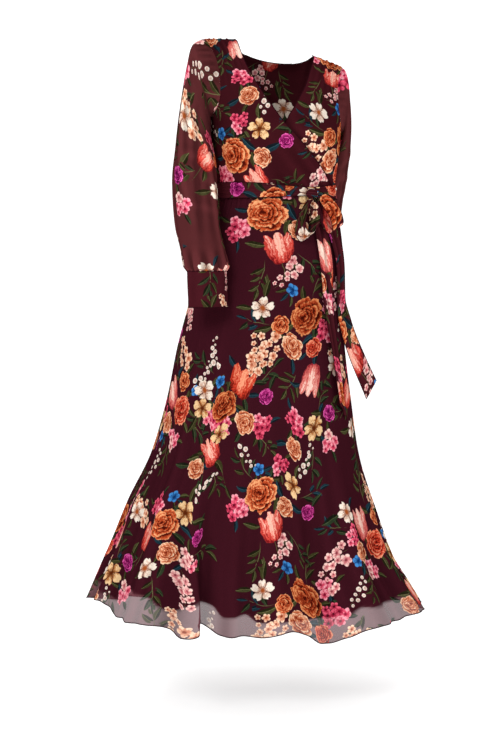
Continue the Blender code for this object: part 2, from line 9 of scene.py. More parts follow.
import bpy
import numpy as np
from mathutils import Matrix, Vector
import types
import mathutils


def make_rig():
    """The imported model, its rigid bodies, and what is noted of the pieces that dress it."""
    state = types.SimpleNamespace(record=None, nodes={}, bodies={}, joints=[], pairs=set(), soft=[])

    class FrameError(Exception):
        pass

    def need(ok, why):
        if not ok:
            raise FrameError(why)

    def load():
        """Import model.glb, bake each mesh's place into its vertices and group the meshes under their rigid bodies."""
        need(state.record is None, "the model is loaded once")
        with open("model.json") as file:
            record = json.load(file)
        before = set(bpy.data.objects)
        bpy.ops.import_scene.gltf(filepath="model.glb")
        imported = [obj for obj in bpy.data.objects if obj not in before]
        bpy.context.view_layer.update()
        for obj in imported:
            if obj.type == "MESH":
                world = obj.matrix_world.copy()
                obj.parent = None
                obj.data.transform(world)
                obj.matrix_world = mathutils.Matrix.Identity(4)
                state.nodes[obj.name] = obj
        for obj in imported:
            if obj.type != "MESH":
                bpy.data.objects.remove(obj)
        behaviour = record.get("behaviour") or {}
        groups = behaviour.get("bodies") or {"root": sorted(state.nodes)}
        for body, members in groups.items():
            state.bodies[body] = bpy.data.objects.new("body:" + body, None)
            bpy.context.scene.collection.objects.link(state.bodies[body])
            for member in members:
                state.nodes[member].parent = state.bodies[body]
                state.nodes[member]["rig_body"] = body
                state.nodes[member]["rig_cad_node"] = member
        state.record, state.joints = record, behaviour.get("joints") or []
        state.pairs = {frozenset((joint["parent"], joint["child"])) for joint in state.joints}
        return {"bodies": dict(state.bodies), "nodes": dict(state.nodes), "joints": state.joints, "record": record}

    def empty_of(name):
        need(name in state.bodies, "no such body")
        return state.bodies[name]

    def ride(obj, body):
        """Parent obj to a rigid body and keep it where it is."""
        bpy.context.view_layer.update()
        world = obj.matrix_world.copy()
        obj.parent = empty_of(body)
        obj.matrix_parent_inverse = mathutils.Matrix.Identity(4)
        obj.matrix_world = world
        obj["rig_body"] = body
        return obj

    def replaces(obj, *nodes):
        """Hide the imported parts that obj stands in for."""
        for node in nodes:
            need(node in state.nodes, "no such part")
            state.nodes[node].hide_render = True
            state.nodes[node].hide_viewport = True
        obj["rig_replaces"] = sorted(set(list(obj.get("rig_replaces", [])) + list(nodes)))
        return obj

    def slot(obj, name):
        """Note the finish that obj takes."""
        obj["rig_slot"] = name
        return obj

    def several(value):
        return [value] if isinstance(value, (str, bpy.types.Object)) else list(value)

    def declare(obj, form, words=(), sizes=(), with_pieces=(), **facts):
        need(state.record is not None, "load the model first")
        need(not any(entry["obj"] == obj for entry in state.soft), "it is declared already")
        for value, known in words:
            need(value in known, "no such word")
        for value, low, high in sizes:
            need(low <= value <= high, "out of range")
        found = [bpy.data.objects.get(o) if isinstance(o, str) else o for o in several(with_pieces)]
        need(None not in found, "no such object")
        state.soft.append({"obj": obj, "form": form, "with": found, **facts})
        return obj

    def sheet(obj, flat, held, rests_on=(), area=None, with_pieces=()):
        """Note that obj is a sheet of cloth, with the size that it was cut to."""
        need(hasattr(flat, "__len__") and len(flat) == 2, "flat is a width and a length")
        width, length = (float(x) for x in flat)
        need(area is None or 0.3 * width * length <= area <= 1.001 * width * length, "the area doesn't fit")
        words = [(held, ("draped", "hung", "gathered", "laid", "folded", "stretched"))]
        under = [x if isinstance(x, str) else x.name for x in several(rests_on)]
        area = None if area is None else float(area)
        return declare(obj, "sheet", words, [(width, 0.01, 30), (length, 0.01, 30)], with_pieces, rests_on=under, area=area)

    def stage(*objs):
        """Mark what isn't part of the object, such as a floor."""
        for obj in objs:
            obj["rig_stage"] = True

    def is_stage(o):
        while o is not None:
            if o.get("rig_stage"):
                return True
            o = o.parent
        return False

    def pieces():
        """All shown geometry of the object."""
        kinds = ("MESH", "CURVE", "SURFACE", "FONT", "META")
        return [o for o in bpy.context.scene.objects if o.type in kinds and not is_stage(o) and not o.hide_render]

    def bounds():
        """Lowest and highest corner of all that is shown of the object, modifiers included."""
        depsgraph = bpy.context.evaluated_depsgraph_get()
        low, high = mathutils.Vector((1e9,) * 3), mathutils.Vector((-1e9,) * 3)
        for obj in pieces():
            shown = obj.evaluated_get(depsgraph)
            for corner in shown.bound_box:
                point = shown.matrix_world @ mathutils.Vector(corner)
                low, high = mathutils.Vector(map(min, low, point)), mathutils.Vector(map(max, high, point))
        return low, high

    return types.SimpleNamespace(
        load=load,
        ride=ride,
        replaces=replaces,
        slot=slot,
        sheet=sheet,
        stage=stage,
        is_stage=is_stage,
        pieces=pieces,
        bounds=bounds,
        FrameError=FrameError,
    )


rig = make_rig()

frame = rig.load()
CAD_BOX = [list(corner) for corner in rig.bounds()]

# ---- driving dimensions, metres, as in the solids ----

LAYER = 0.0023  # from one cloth layer to the one that lies on it
BAND_LIFT = 0.0031  # the sash's band over the waist seam
WAIST = -0.340
HEM = -1.345
SASH_TOP, SASH_BOTTOM = -0.322, -0.359
KNOT_AT = (22.5, -0.349)
TURN = 2 * np.pi  # a full turn, radians


def smooth(at, xs, ys):
    """A smooth curve through (xs, ys) that never overshoots its points. ys may hold one array for each x."""
    at = np.clip(np.asarray(at, float), xs[0], xs[-1])
    ys = np.asarray(ys, float)
    more = (1,) * (ys.ndim - 1)
    step = np.diff(xs).reshape(-1, *more)
    slope = np.diff(ys, axis=0) / step
    before, after = slope[:-1], slope[1:]
    turns = before * after <= 0
    weight = (step[:-1] + step[1:]) * 3
    inner = weight / (
        (2 * step[1:] + step[:-1]) / np.where(turns, 1, before)
        + (step[1:] + 2 * step[:-1]) / np.where(turns, 1, after)
    )
    tangent = np.concatenate([slope[:1], np.where(turns, 0, inner), slope[-1:]])
    i = np.clip(np.searchsorted(xs, at, side="right") - 1, 0, len(xs) - 2)
    h = step.reshape(-1)[i].reshape(at.shape + more)
    t = (at - xs[i]).reshape(at.shape + more) / h
    return (
        (1 + 2 * t) * (1 - t) ** 2 * ys[i]
        + t * (1 - t) ** 2 * h * tangent[i]
        + t * t * (3 - 2 * t) * ys[i + 1]
        + t * t * (t - 1) * h * tangent[i + 1]
    )


class Table:
    """Rows of named columns, read between the rows along a smooth curve. It is read by its first column."""

    def __init__(self, names, numbers):
        self.names = names.split()
        self.rows = np.array(numbers.split(), float).reshape(-1, len(self.names))

    def __call__(self, name, at):
        return smooth(at, self.rows[:, 0], self.rows[:, self.names.index(name)])


def rows_of(columns, text):
    """The rows of a written table. A cell is a whole number, a number or a word."""

    def read(cell):
        for kind in (int, float):
            try:
                return kind(cell)
            except ValueError:
                continue
        return cell

    cells = [read(cell) for cell in text.split()]
    return [cells[i : i + columns] for i in range(0, len(cells), columns)]


def ease(x):
    """0 below 0, 1 above 1, and a smooth rise between."""
    x = np.clip(x, 0, 1)
    return x * x * (3 - 2 * x)


def ridge(away, half_width):
    """1 on a crest, and less the farther away."""
    return np.exp(-((away / half_width) ** 2))


def steps(count):
    return np.linspace(0, 1, count + 1)


def degrees_apart(a, b):
    return (a - b + 180) % 360 - 180


# ---- the figure that the cloth stands round ----

# One row for each level section: its half width, its depth to the front and to the back of the middle point,
# where that middle point is, and how far the section tilts sideways (metres down for each metre to the left).
BODY = Table(
    "level half_width front back middle_x middle_y tilt",
    """
    -1.420  0.424 0.292 0.268  -0.040 0.000  0
    -1.345  0.404 0.284 0.260  -0.041 0.000  0
    -1.289  0.376 0.275 0.250  -0.045 0.000  0
    -1.195  0.328 0.255 0.232  -0.053 0.000  0
    -1.076  0.284 0.232 0.213  -0.051 0.002  0
    -0.958  0.241 0.206 0.193  -0.041 0.004  0
    -0.839  0.219 0.182 0.175  -0.033 0.006  0
    -0.720  0.201 0.160 0.160  -0.028 0.008  0
    -0.610  0.185 0.140 0.148  -0.015 0.010  0
    -0.500  0.172 0.122 0.134  -0.001 0.010  0
    -0.420  0.157 0.109 0.111   0.004 0.005  0
    -0.340  0.139 0.096 0.088   0.006 0.000  0
    -0.285  0.144 0.110 0.088   0.006 0.000  0.03
    -0.215  0.153 0.127 0.096   0.005 0.000  0.07
    -0.165  0.157 0.118 0.100   0.004 0.002  0.10
    -0.110  0.163 0.096 0.096   0.003 0.004  0.13
    -0.060  0.169 0.070 0.080   0.003 0.006  0.15
    -0.025  0.175 0.045 0.054   0.003 0.008  0.16
    -0.007  0.178 0.024 0.028   0.003 0.009  0.17
     0.000  0.179 0.000 0.000   0.003 0.010  0.17
    """,
)
SQUARENESS = 0.10  # how much fuller than an ellipse a section is between its front and its sides
NECK_HALF = 0.088  # from the middle to the neck-side end of a shoulder seam
SHOULDER_HALF = 0.160  # from the middle to a shoulder seam's outer end
SHOULDER_DROP = 0.013  # how far a shoulder seam falls from the neck to its outer end


def section(angle, level):
    """Points of the figure at these angles and levels, on the middle of an outermost cloth wall."""
    angle, level = np.broadcast_arrays(np.radians(angle), level)
    s, c = np.sin(angle), np.cos(angle)
    depth = np.where(c > 0, BODY("front", level), BODY("back", level))
    x = BODY("middle_x", level) + BODY("half_width", level) * s * (1 + SQUARENESS * c * c)
    y = BODY("middle_y", level) - depth * c * (1 + SQUARENESS * s * s)
    near_shoulder = ease(1 + level / 0.06)
    past_neck = np.maximum(np.abs(x) - NECK_HALF, 0) / (SHOULDER_HALF - NECK_HALF)
    z = level - BODY("tilt", level) * x - SHOULDER_DROP * near_shoulder * past_neck
    return np.stack([x, y, z], axis=-1)


def unit(vectors):
    return vectors / np.linalg.norm(vectors, axis=-1, keepdims=True)


def axes_at(angle, level):
    """Three directions on the figure: round it towards the wearer's left, up it, and straight out of it."""
    around = unit(section(angle + 0.5, level) - section(angle - 0.5, level))
    up = section(angle, level + 0.002) - section(angle, level - 0.002)
    out = unit(np.cross(around, up))
    return around, unit(np.cross(out, around)), out


def on_body(angle, level, lift=0.0):
    """Points of the figure, lifted straight out of its surface."""
    angle, level, lift = np.broadcast_arrays(np.asarray(angle, float), level, lift)
    return section(angle, level) + axes_at(angle, level)[2] * lift[..., None]


# A front bodice piece's two sides, from the waist seam (0) up to the shoulder seam (1).
FRONT_EDGES = Table(
    "up side_angle side_level edge_angle edge_level",
    """
    0.00  -90.0 -0.340   61.0 -0.340
    0.20  -90.0 -0.287   36.0 -0.288
    0.38  -90.0 -0.232   15.0 -0.237
    0.53  -90.0 -0.187    0.5 -0.192
    0.58  -81.0 -0.180   -4.0 -0.170
    0.64  -68.0 -0.163   -9.0 -0.148
    0.72  -58.5 -0.128  -15.5 -0.116
    0.81  -56.0 -0.082  -22.0 -0.078
    0.90  -59.0 -0.038  -26.5 -0.038
    0.96  -62.5 -0.012  -28.5 -0.012
    1.00  -64.5  0.000  -29.0  0.000
    """,
)
# The back, the same way: its side is the side seam and armhole, and both sides mirror one another.
BACK_EDGES = Table(
    "up side_angle side_level",
    """
    0.00  90.0 -0.340   0.30  90.0 -0.262   0.53  90.0 -0.187   0.58  98.0 -0.180   0.64 108.0 -0.163
    0.72 117.0 -0.128   0.81 121.0 -0.082   0.90 119.0 -0.038   0.96 117.0 -0.012   1.00 115.5  0.000
    """,
)
UNDERARM_ROW = 3  # the row of FRONT_EDGES in which the side seam ends and the armhole starts
BACK_NECK_DIP = 0.030  # how far the back neckline dips below the shoulder seams
SHOULDER_GATHERS = 5  # soft tucks along each front's shoulder seam

# The skirt's wide folds, round it from the wearer's right side over the front.
FOLDS = Table(
    "angle half_width height start_level lean wander",
    """
    -84  9   0.016 -0.75  0.000  2    -66  9   -0.020 -0.80  0.000  4    -50  9   0.026 -0.70  0.000  6
    -40  4.5 -0.010 -0.95 0.000  4    -33  4.4  0.040 -0.90  0.052  6    -25  4  -0.022 -1.00 -0.004  5
    -12  5  -0.012 -0.95  0.000  3      0  8    0.022 -0.85  0.000  1     14  8  -0.018 -0.80  0.000 -1
     31  8   0.030 -0.80  0.000 -3     47  9   -0.014 -0.90  0.000 -4     64 10   0.014 -0.85  0.000 -4
     80  8  -0.012 -0.95  0.000 -2     97  9    0.018 -0.75  0.000 -2    113  8  -0.020 -0.80  0.000  2
    128  9   0.030 -0.65  0.000  2    143  8   -0.022 -0.75  0.000  2    158  9   0.028 -0.70  0.008  2
    173  8  -0.024 -0.70  0.000  0    188  9    0.030 -0.60  0.000  0    204  9  -0.022 -0.75  0.000 -2
    219  9   0.026 -0.65 -0.008 -2    234  8   -0.020 -0.80  0.000 -2    249  9   0.024 -0.70  0.000 -2
    263  7  -0.012 -0.85  0.000 -1
    """,
)
# The hem's level round the skirt, from the wearer's right side, over the front, to the right side again.
HEM_LINE = Table(
    "angle level",
    """
    -90 -1.289   -80 -1.287   -74 -1.297   -67 -1.315   -58 -1.313   -50 -1.312   -42 -1.317   -38 -1.322
    -36 -1.338   -32 -1.328   -29 -1.315   -26 -1.312   -23 -1.319   -19 -1.335   -15 -1.341   -12 -1.338
     -7 -1.341    -2 -1.333     2 -1.328     7 -1.340    12 -1.364    15 -1.366    20 -1.354    27 -1.336
     33 -1.329    45 -1.333    60 -1.325    75 -1.331    90 -1.336   135 -1.350   180 -1.352   225 -1.332
    270 -1.289
    """,
)
# The level of the lining's own hem, round the skirt in the same way. It stops short of the sheer hem.
LINING_HEM_LINE = Table(
    "angle level",
    """
    -90 -1.262   -78 -1.272   -71 -1.281   -67 -1.257   -56 -1.251   -48 -1.254   -43 -1.276   -39 -1.286
    -35 -1.268   -31 -1.262   -26 -1.266   -22 -1.273   -18 -1.298   -15 -1.299   -11 -1.292    -7 -1.309
      1 -1.307     8 -1.308    17 -1.309    22 -1.306    28 -1.286    33 -1.289    48 -1.290    57 -1.283
     75 -1.286    90 -1.288   135 -1.298   180 -1.302   225 -1.280   270 -1.262
    """,
)

# Rings round an arm, from the armhole down: each one's outer and inner point, and half its fore-and-aft size.
SLEEVE_ROWS = "along outer_x outer_y outer_z inner_x inner_y inner_z half_fore"
RIGHT_SLEEVE = Table(
    SLEEVE_ROWS,
    """
    0.10  -0.192  0.002 -0.002  -0.1590  0.000 -0.182  0.059
    0.22  -0.207 -0.002 -0.055  -0.1555 -0.004 -0.206  0.061
    0.34  -0.221 -0.010 -0.130  -0.1525 -0.010 -0.238  0.058
    0.48  -0.237 -0.034 -0.230  -0.1490 -0.026 -0.280  0.054
    0.62  -0.247 -0.066 -0.325  -0.1480 -0.046 -0.345  0.051
    0.76  -0.245 -0.102 -0.415  -0.1485 -0.070 -0.420  0.047
    0.88  -0.239 -0.136 -0.480  -0.1410 -0.094 -0.480  0.043
    0.96  -0.237 -0.152 -0.514  -0.1360 -0.104 -0.514  0.040
    1.00  -0.231 -0.155 -0.526  -0.1400 -0.110 -0.526  0.033
    """,
)
LEFT_SLEEVE = Table(
    SLEEVE_ROWS,
    """
    0.10   0.172  0.012 -0.048   0.1660  0.012 -0.206  0.056
    0.22   0.183  0.026 -0.106   0.1620  0.024 -0.232  0.056
    0.34   0.192  0.058 -0.190   0.1480  0.046 -0.262  0.054
    0.48   0.193  0.108 -0.285   0.1260  0.070 -0.305  0.052
    0.62   0.187  0.150 -0.362   0.1180  0.096 -0.365  0.051
    0.76   0.183  0.176 -0.440   0.1180  0.118 -0.440  0.050
    0.88   0.182  0.190 -0.500   0.1200  0.130 -0.500  0.049
    0.96   0.182  0.196 -0.538   0.1210  0.136 -0.538  0.048
    1.00   0.180  0.194 -0.550   0.1250  0.142 -0.550  0.041
    """,
)
# A cuff's lower edge, in the same columns after the first.
RIGHT_CUFF_END = (-0.230, -0.163, -0.608, -0.1380, -0.118, -0.608, 0.032)
LEFT_CUFF_END = (0.182, 0.200, -0.632, 0.1270, 0.148, -0.632, 0.041)
CUFF_GATHERS = 9


def armhole_ring(hand, turns):
    """The armhole's edge at these turns of a ring: 0 on the shoulder, a quarter at the front, a half at the
    underarm. The levels are spaced so that the points lie about evenly along it."""
    front = turns <= 0.5
    share = np.where(front, turns, 1 - turns) * 2  # 0 on the shoulder, 1 at the underarm
    up = 1 - (1 - FRONT_EDGES.rows[UNDERARM_ROW, 0]) * share
    front_ring = section(hand * FRONT_EDGES("side_angle", up), FRONT_EDGES("side_level", up))
    back_ring = section(hand * -BACK_EDGES("side_angle", up), BACK_EDGES("side_level", up))
    return np.where(front[:, None], front_ring, back_ring)


def arm_ring(side, turns, *ends):
    """An oval ring round the arm. side is -1 on the wearer's right and 1 on the left."""
    outer, inner, half_fore = np.array(ends[:3]), np.array(ends[3:6]), ends[6]
    half_out = (outer - inner) / 2
    fore = unit(side * np.array([half_out[1], -half_out[0], 0])) * half_fore
    around = TURN * turns[:, None]
    return (outer + inner) / 2 + half_out * np.cos(around) + fore * np.sin(around)


# A ribbon's middle line runs over the figure, lifted out of it. across is the slope of its width on the
# figure (0 is level, 90 is upright), and tilt turns that width out of the surface.
RIBBON_ROWS = "along angle level lift width across tilt"
LOOP_LEFT = Table(
    RIBBON_ROWS,
    """
    0.00  20.4 -0.3640 0.0190  0.014 10  0
    0.14  15.4 -0.3800 0.0220  0.028 40 40
    0.28  11.2 -0.4060 0.0230  0.036 42 50
    0.40   9.6 -0.4310 0.0230  0.037 46 52
    0.50  13.4 -0.4500 0.0230  0.037 58 54
    0.60  18.0 -0.4440 0.0230  0.037 52 54
    0.72  20.6 -0.4230 0.0240  0.036 42 50
    0.86  21.6 -0.3920 0.0230  0.028 32 36
    1.00  20.6 -0.3624 0.0140  0.014 10  0
    """,
)
LOOP_RIGHT = Table(
    RIBBON_ROWS,
    """
    0.00  28.45 -0.3492 0.0165  0.014 75 0
    0.18  35.5  -0.3720 0.0250  0.034 50 0
    0.34  41.0  -0.4020 0.0290  0.042 32 0
    0.44  42.5  -0.4250 0.0280  0.044 28 0
    0.50  41.0  -0.4330 0.0220  0.044 26 0
    0.57  37.5  -0.4250 0.0160  0.042 26 0
    0.70  34.0  -0.4030 0.0145  0.038 28 0
    0.86  31.0  -0.3720 0.0135  0.028 50 0
    1.00  29.3  -0.3510 0.0130  0.014 75 0
    """,
)
TAIL_LONG = Table(
    RIBBON_ROWS,
    """
    0.00  25.0 -0.3594 0.0100  0.014  0   0
    0.12  29.0 -0.4150 0.0074  0.030 -3   6
    0.28  33.5 -0.5000 0.0060  0.036 -4   4
    0.46  36.5 -0.6000 0.0070  0.034 -4  -8
    0.70  43.0 -0.7200 0.0085  0.036 -8 -16
    1.00  45.0 -0.8700 0.0090  0.038 -8 -18
    """,
)
TAIL_SIDE = Table(
    RIBBON_ROWS,
    """
    0.00  28.6 -0.3590 0.0078  0.016  10  0
    0.14  42.5 -0.4200 0.0042  0.034  20  0
    0.32  53.0 -0.5000 0.0042  0.040  14  0
    0.50  55.5 -0.5900 0.0046  0.040   2  4
    0.60  57.5 -0.6420 0.0110  0.041  -8 26
    0.78  66.5 -0.7250 0.0270  0.044 -18 52
    1.00  74.0 -0.8380 0.0590  0.047 -24 70
    """,
)
SASH_FLARE = 0.0018  # how much farther out the band's lower edge stands than its upper one
KNOT_HALF = (0.015, 0.011, 0.010)  # the knot's half sizes round, up and out of the figure


# ---- the forms of the pieces, on the solids' own, with their small folds and gathers ----

NECK_SHIFT = 2.3  # how many degrees the V of the neckline sits towards the wearer's right
UNDER_LAYER = 0.0042  # how far the under front sinks below the top one


# A drawn fold: its place across, its half width and height, how far up it reaches, and how it leans.
FRONT_DRAWN_FOLDS = rows_of(5, """
    0.93 0.020  0.0014 0.62 0.00   0.84 0.030 -0.0012 0.50 0.03   0.74 0.034 0.0022 0.60 0.05
    0.60 0.034 -0.0014 0.40 0.06   0.50 0.040  0.0018 0.46 0.07   0.36 0.036 0.0014 0.34 0.06
    0.23 0.030 -0.0010 0.30 0.05   0.12 0.030  0.0016 0.42 0.03
""")
BACK_DRAWN_FOLDS = rows_of(5, """
    0.10 0.022  0.0016 0.60 0   0.21 0.026 -0.0010 0.42 0   0.31 0.026 0.0018 0.52 0
    0.42 0.024 -0.0012 0.40 0   0.52 0.028  0.0014 0.46 0   0.63 0.024 -0.0014 0.50 0
    0.72 0.026  0.0018 0.44 0   0.83 0.024  0.0010 0.40 0   0.91 0.022 0.0016 0.62 0
""")


def drawn_folds(up, across, folds, widening, wander):
    """Soft folds drawn from the bust down into the waist. wander says how far and how their crests stray."""
    lift = 0
    stray, rate, phase, start = wander
    for place, width, height, top, lean in folds:
        crest = place + lean * up / top + stray * np.sin(rate * up + phase * place + start)
        lift = lift + height * ridge(across - crest, width + widening * up) * ease((top - up) / top) ** 0.8
    return lift


def front_form(hand, columns, rows):
    """A front bodice piece. hand is 1 for the wearer's right front, on top, and -1 for the left, under it."""
    up, across = steps(rows)[:, None], steps(columns)[None, :]
    side_level, edge_level = FRONT_EDGES("side_level", up), FRONT_EDGES("edge_level", up)
    side_angle = FRONT_EDGES("side_angle", up)
    shifted = ease((up - 0.45) / 0.15) * (1 - ease((up - 0.85) / 0.15))
    edge_angle = FRONT_EDGES("edge_angle", up) - hand * NECK_SHIFT * shifted
    angle = side_angle + (edge_angle - side_angle) * across
    level = side_level + (edge_level - side_level) * across
    inside = np.sin(np.pi * across) ** 0.5
    # gathers under the shoulder seam: five soft tucks, with finer ones between them
    under_seam = ease(1 - (1 - up) / 0.34)
    finer = ease(1 - (1 - up) / 0.14)
    lift = 0.0022 * under_seam * inside * np.cos(TURN * SHOULDER_GATHERS * across)
    lift += 0.0009 * finer * inside * np.cos(TURN * (13 * across + 0.3 * np.sin(5 * across + hand)))
    lift += drawn_folds(up, across, FRONT_DRAWN_FOLDS, 0.03, (0.012, 7, 9, hand))
    # the waist seam draws the cloth up in short gathers
    wave = np.cos(TURN * (17 * across + 0.5 * np.sin(6 * across + 2 * hand)))
    lift += 0.0010 * inside * wave * ease(1 - up / 0.14)
    if hand > 0:
        return on_body(angle, level, lift)
    top_edge = np.interp(level, FRONT_EDGES.rows[:, 4], FRONT_EDGES.rows[:, 3])
    beyond = ease((-angle - top_edge) / 9.0)
    below_v = ease((-0.10 - level) / 0.05)
    sunk = (UNDER_LAYER + np.maximum(lift, 0)) * (1 - beyond) * below_v
    return on_body(-angle, level, lift - sunk)[:, ::-1]


def back_form(columns, rows):
    up, across = steps(rows)[:, None], steps(columns)[None, :]
    side_level, side_angle = BACK_EDGES("side_level", up), BACK_EDGES("side_angle", up)
    angle = side_angle + (360 - 2 * side_angle) * across
    neck_angle = 180 - np.degrees(np.arcsin(NECK_HALF / BODY.rows[-1, 1]))
    from_middle = np.abs(angle - 180) / (180 - neck_angle)
    dip = BACK_NECK_DIP * np.sqrt(np.clip(1 - from_middle**2, 0, 1))
    inside = np.sin(np.pi * across) ** 0.5
    wave = np.cos(TURN * (21 * across + 0.6 * np.sin(7 * across)))
    lift = 0.0010 * inside * wave * ease(1 - up / 0.16)
    lift += drawn_folds(up, across, BACK_DRAWN_FOLDS, 0.02, (0.010, 6, 11, 0))
    return on_body(angle, side_level - dip * up**4, lift)


def narrow_folds():
    """The skirt's narrow folds between and over its wide ones: crest, half width, height, start, wander."""
    draw = np.random.default_rng(5)
    rows, angle = [], -87.0
    while angle < 268:
        height = draw.uniform(0.0018, 0.0050) * (1 if len(rows) % 2 else -1)
        half_width, start, wander = draw.uniform(1.5, 3.0), draw.uniform(-1.05, -0.42), draw.uniform(-2.5, 2.5)
        rows.append((angle, half_width, height, start, wander))
        angle += draw.uniform(4.5, 8.5)
    return rows


NARROW_FOLDS = narrow_folds()


def skirt_fold(angle, level, crest, half_width, start, wander):
    """How far a fold of the skirt has grown at each level from its start, and its shape round the skirt."""
    grown = ease((start - level) / (start - HEM))
    return grown, ridge(degrees_apart(angle + wander * (1 - grown), crest), half_width) * grown


def skirt_point(angle, level, lift=0.0, share=1.0, lean_share=1.0, fine=1.0):
    """Points of the skirt at these levels, with these shares of its folds' depth and lean."""
    angle, level = np.broadcast_arrays(np.asarray(angle, float), level)
    push, slide = np.zeros(angle.shape), np.zeros(angle.shape)
    for crest, half_width, height, start, lean, wander in FOLDS.rows:
        grown, fold = skirt_fold(angle, level, crest, half_width, start, wander)
        push += height * fold
        slide += lean * fold * grown
    if fine:
        for crest, half_width, height, start, wander in NARROW_FOLDS:
            push += fine * height * skirt_fold(angle, level, crest, half_width, start, wander)[1]
        turns = np.radians(angle)
        gathers = np.sin(61 * turns + 1.7 * np.sin(3 * turns))
        gathers += 0.5 * np.sin(97 * turns + 2 * np.sin(5 * turns))
        push += fine * 0.0009 * gathers * ease(1 - (WAIST - level) / 0.075) * ease((WAIST - level) / 0.02)
    around, _, out = axes_at(angle, level)
    flat_out = unit(out * (1, 1, 0))
    moved = flat_out * (push * share + lift)[..., None] + around * (slide * lean_share)[..., None]
    return section(angle, level) + moved


def skirt_places(first, last, columns, rows, hem_line=HEM_LINE):
    """The angles and levels of a grid over the skirt, its rows from the hem up to the waist."""
    angle = first + (last - first) * steps(columns)[None, :]
    down = steps(rows)[::-1, None]
    return angle, WAIST + (hem_line("level", angle) - WAIST) * down, down


def skirt_form(*grid, top_lift=0.0, hem_lift=0.0, **shares):
    """Part of the skirt or of its lining between two angles, from the waist down to its hem."""
    angle, level, down = skirt_places(*grid)
    lift = top_lift + (hem_lift - top_lift) * ease(down / 0.12)
    return skirt_point(angle, level, lift, **shares)


def lifted(ring_sheet, lift):
    """A closed sheet, moved out from the middle of each of its rings."""
    out = unit(ring_sheet - ring_sheet.mean(axis=1, keepdims=True))
    return ring_sheet + out * lift[..., None]


# Long soft creases that wander round a sleeve: where they start, how far they drift round the arm, their
# half width and height, and where they begin and end down it.
SLEEVE_CREASES = rows_of(6, """
    0.08  0.10 0.026  0.0034 0.10 0.80   0.20 -0.08 0.030 -0.0030 0.22 0.92
    0.32  0.06 0.028  0.0036 0.34 0.96   0.45 -0.10 0.030  0.0026 0.06 0.62
    0.56  0.08 0.026 -0.0028 0.40 0.94   0.67 -0.06 0.030  0.0034 0.16 0.70
    0.79  0.09 0.028 -0.0024 0.30 0.88   0.90 -0.07 0.028  0.0032 0.46 0.97
""")
# Drag folds across the inside of the elbow: place down the sleeve, height, lean round the arm.
ELBOW_FOLDS = rows_of(3, "0.42 0.0022 0.10   0.50 0.0026 -0.12   0.58 0.0020 0.12   0.70 0.0018 0.08")


def sleeve_form(side, table, columns, rows):
    """A sleeve as a closed sheet, its rows from the cuff's seam up to the armhole."""
    turns = np.arange(columns) / columns
    rings = [armhole_ring(-side, turns) + np.array([side * 0.0002, 0, 0])]
    rings += [arm_ring(side, turns, *row[1:]) for row in table.rows]
    along = steps(rows)
    sheet = smooth(along, np.concatenate([[0], table.rows[:, 0]]), np.array(rings))
    a, t = along[:, None], turns[None, :]
    # gathers into the cuff and a few at the sleeve's head
    gathered = ease((a - 0.84) / 0.12) * (1 - 0.8 * ease((a - 0.97) / 0.03))
    lift = 0.0030 * gathered * np.cos(TURN * CUFF_GATHERS * t)
    lift += 0.0016 * ease((a - 0.90) / 0.08) * np.cos(TURN * (23 * t + 0.1 * np.sin(TURN * 3 * t)))
    top = 0.5 + 0.5 * np.cos(TURN * t)
    lift += 0.0014 * top * np.cos(TURN * 26 * t) * ease(1 - a / 0.14) * ease(a / 0.02)
    for start, drift, width, height, low, high in SLEEVE_CREASES:
        middle = (a - low) / (high - low)
        crest = start + drift * (middle - 0.5) + 0.015 * np.sin(9 * a + 8 * start)
        away = (t - crest + 0.5) % 1 - 0.5
        lift += 1.5 * height * ridge(away, width) * np.sin(np.pi * np.clip(middle, 0, 1)) ** 1.5
    for place, height, lean in ELBOW_FOLDS:
        round_arm = np.clip(np.sin(TURN * (t + 0.02)), 0, 1) ** 1.5
        lift += height * ridge(a - place - lean * (t - 0.25), 0.020) * round_arm
    # the cloth between the right arm and the side hangs full, and leans on the side under the armhole
    for place, width, height in ((0.22, 0.13, 0.0042), (0.36, 0.14, 0.0030), (0.56, 0.12, 0.0012)):
        lift += height * ridge(a - place, width) * ridge(t - 0.45, 0.10) * (side < 0)
    towards_side = 0.0066 * ridge(a - 0.13, 0.075) * ridge(t - 0.43, 0.10) * (side < 0)
    sheet = lifted(sheet, lift * ease(a / 0.03)) + towards_side[..., None] * (1, 0, 0)
    return sheet[::-1] if side < 0 else sheet[::-1, ::-1]


def cuff_form(side, table, end, columns, rows):
    """A cuff, from its lower edge up to the sleeve's seam. Its cloth is a little full, to pass the hand."""
    turns = np.arange(columns) / columns
    low, top = arm_ring(side, turns, *end), arm_ring(side, turns, *table.rows[-1][1:])
    up, t = steps(rows)[:, None], turns[None, :]
    wave = np.cos(TURN * (7 * t + 0.16 * np.sin(3 * up + 6 * t))) * np.sin(np.pi * up)
    lift = 0.0009 * wave + 0.0007 * np.cos(TURN * CUFF_GATHERS * t) * ease((up - 0.8) / 0.2)
    sheet = lifted(low + (top - low) * up[..., None], lift)
    return sheet if side < 0 else sheet[:, ::-1]


# The sash is wound slack, so it lies in a few long folds that run together at the knot: a fold is its place
# up the band, its half width and height, and its phase round the waist.
SASH_FOLDS = rows_of(4, """
    0.16 0.055  0.0016 0.3   0.34 0.050 -0.0012 1.9   0.50 0.060 0.0018 3.4
    0.68 0.050 -0.0010 4.6   0.84 0.055  0.0014 5.9
""")


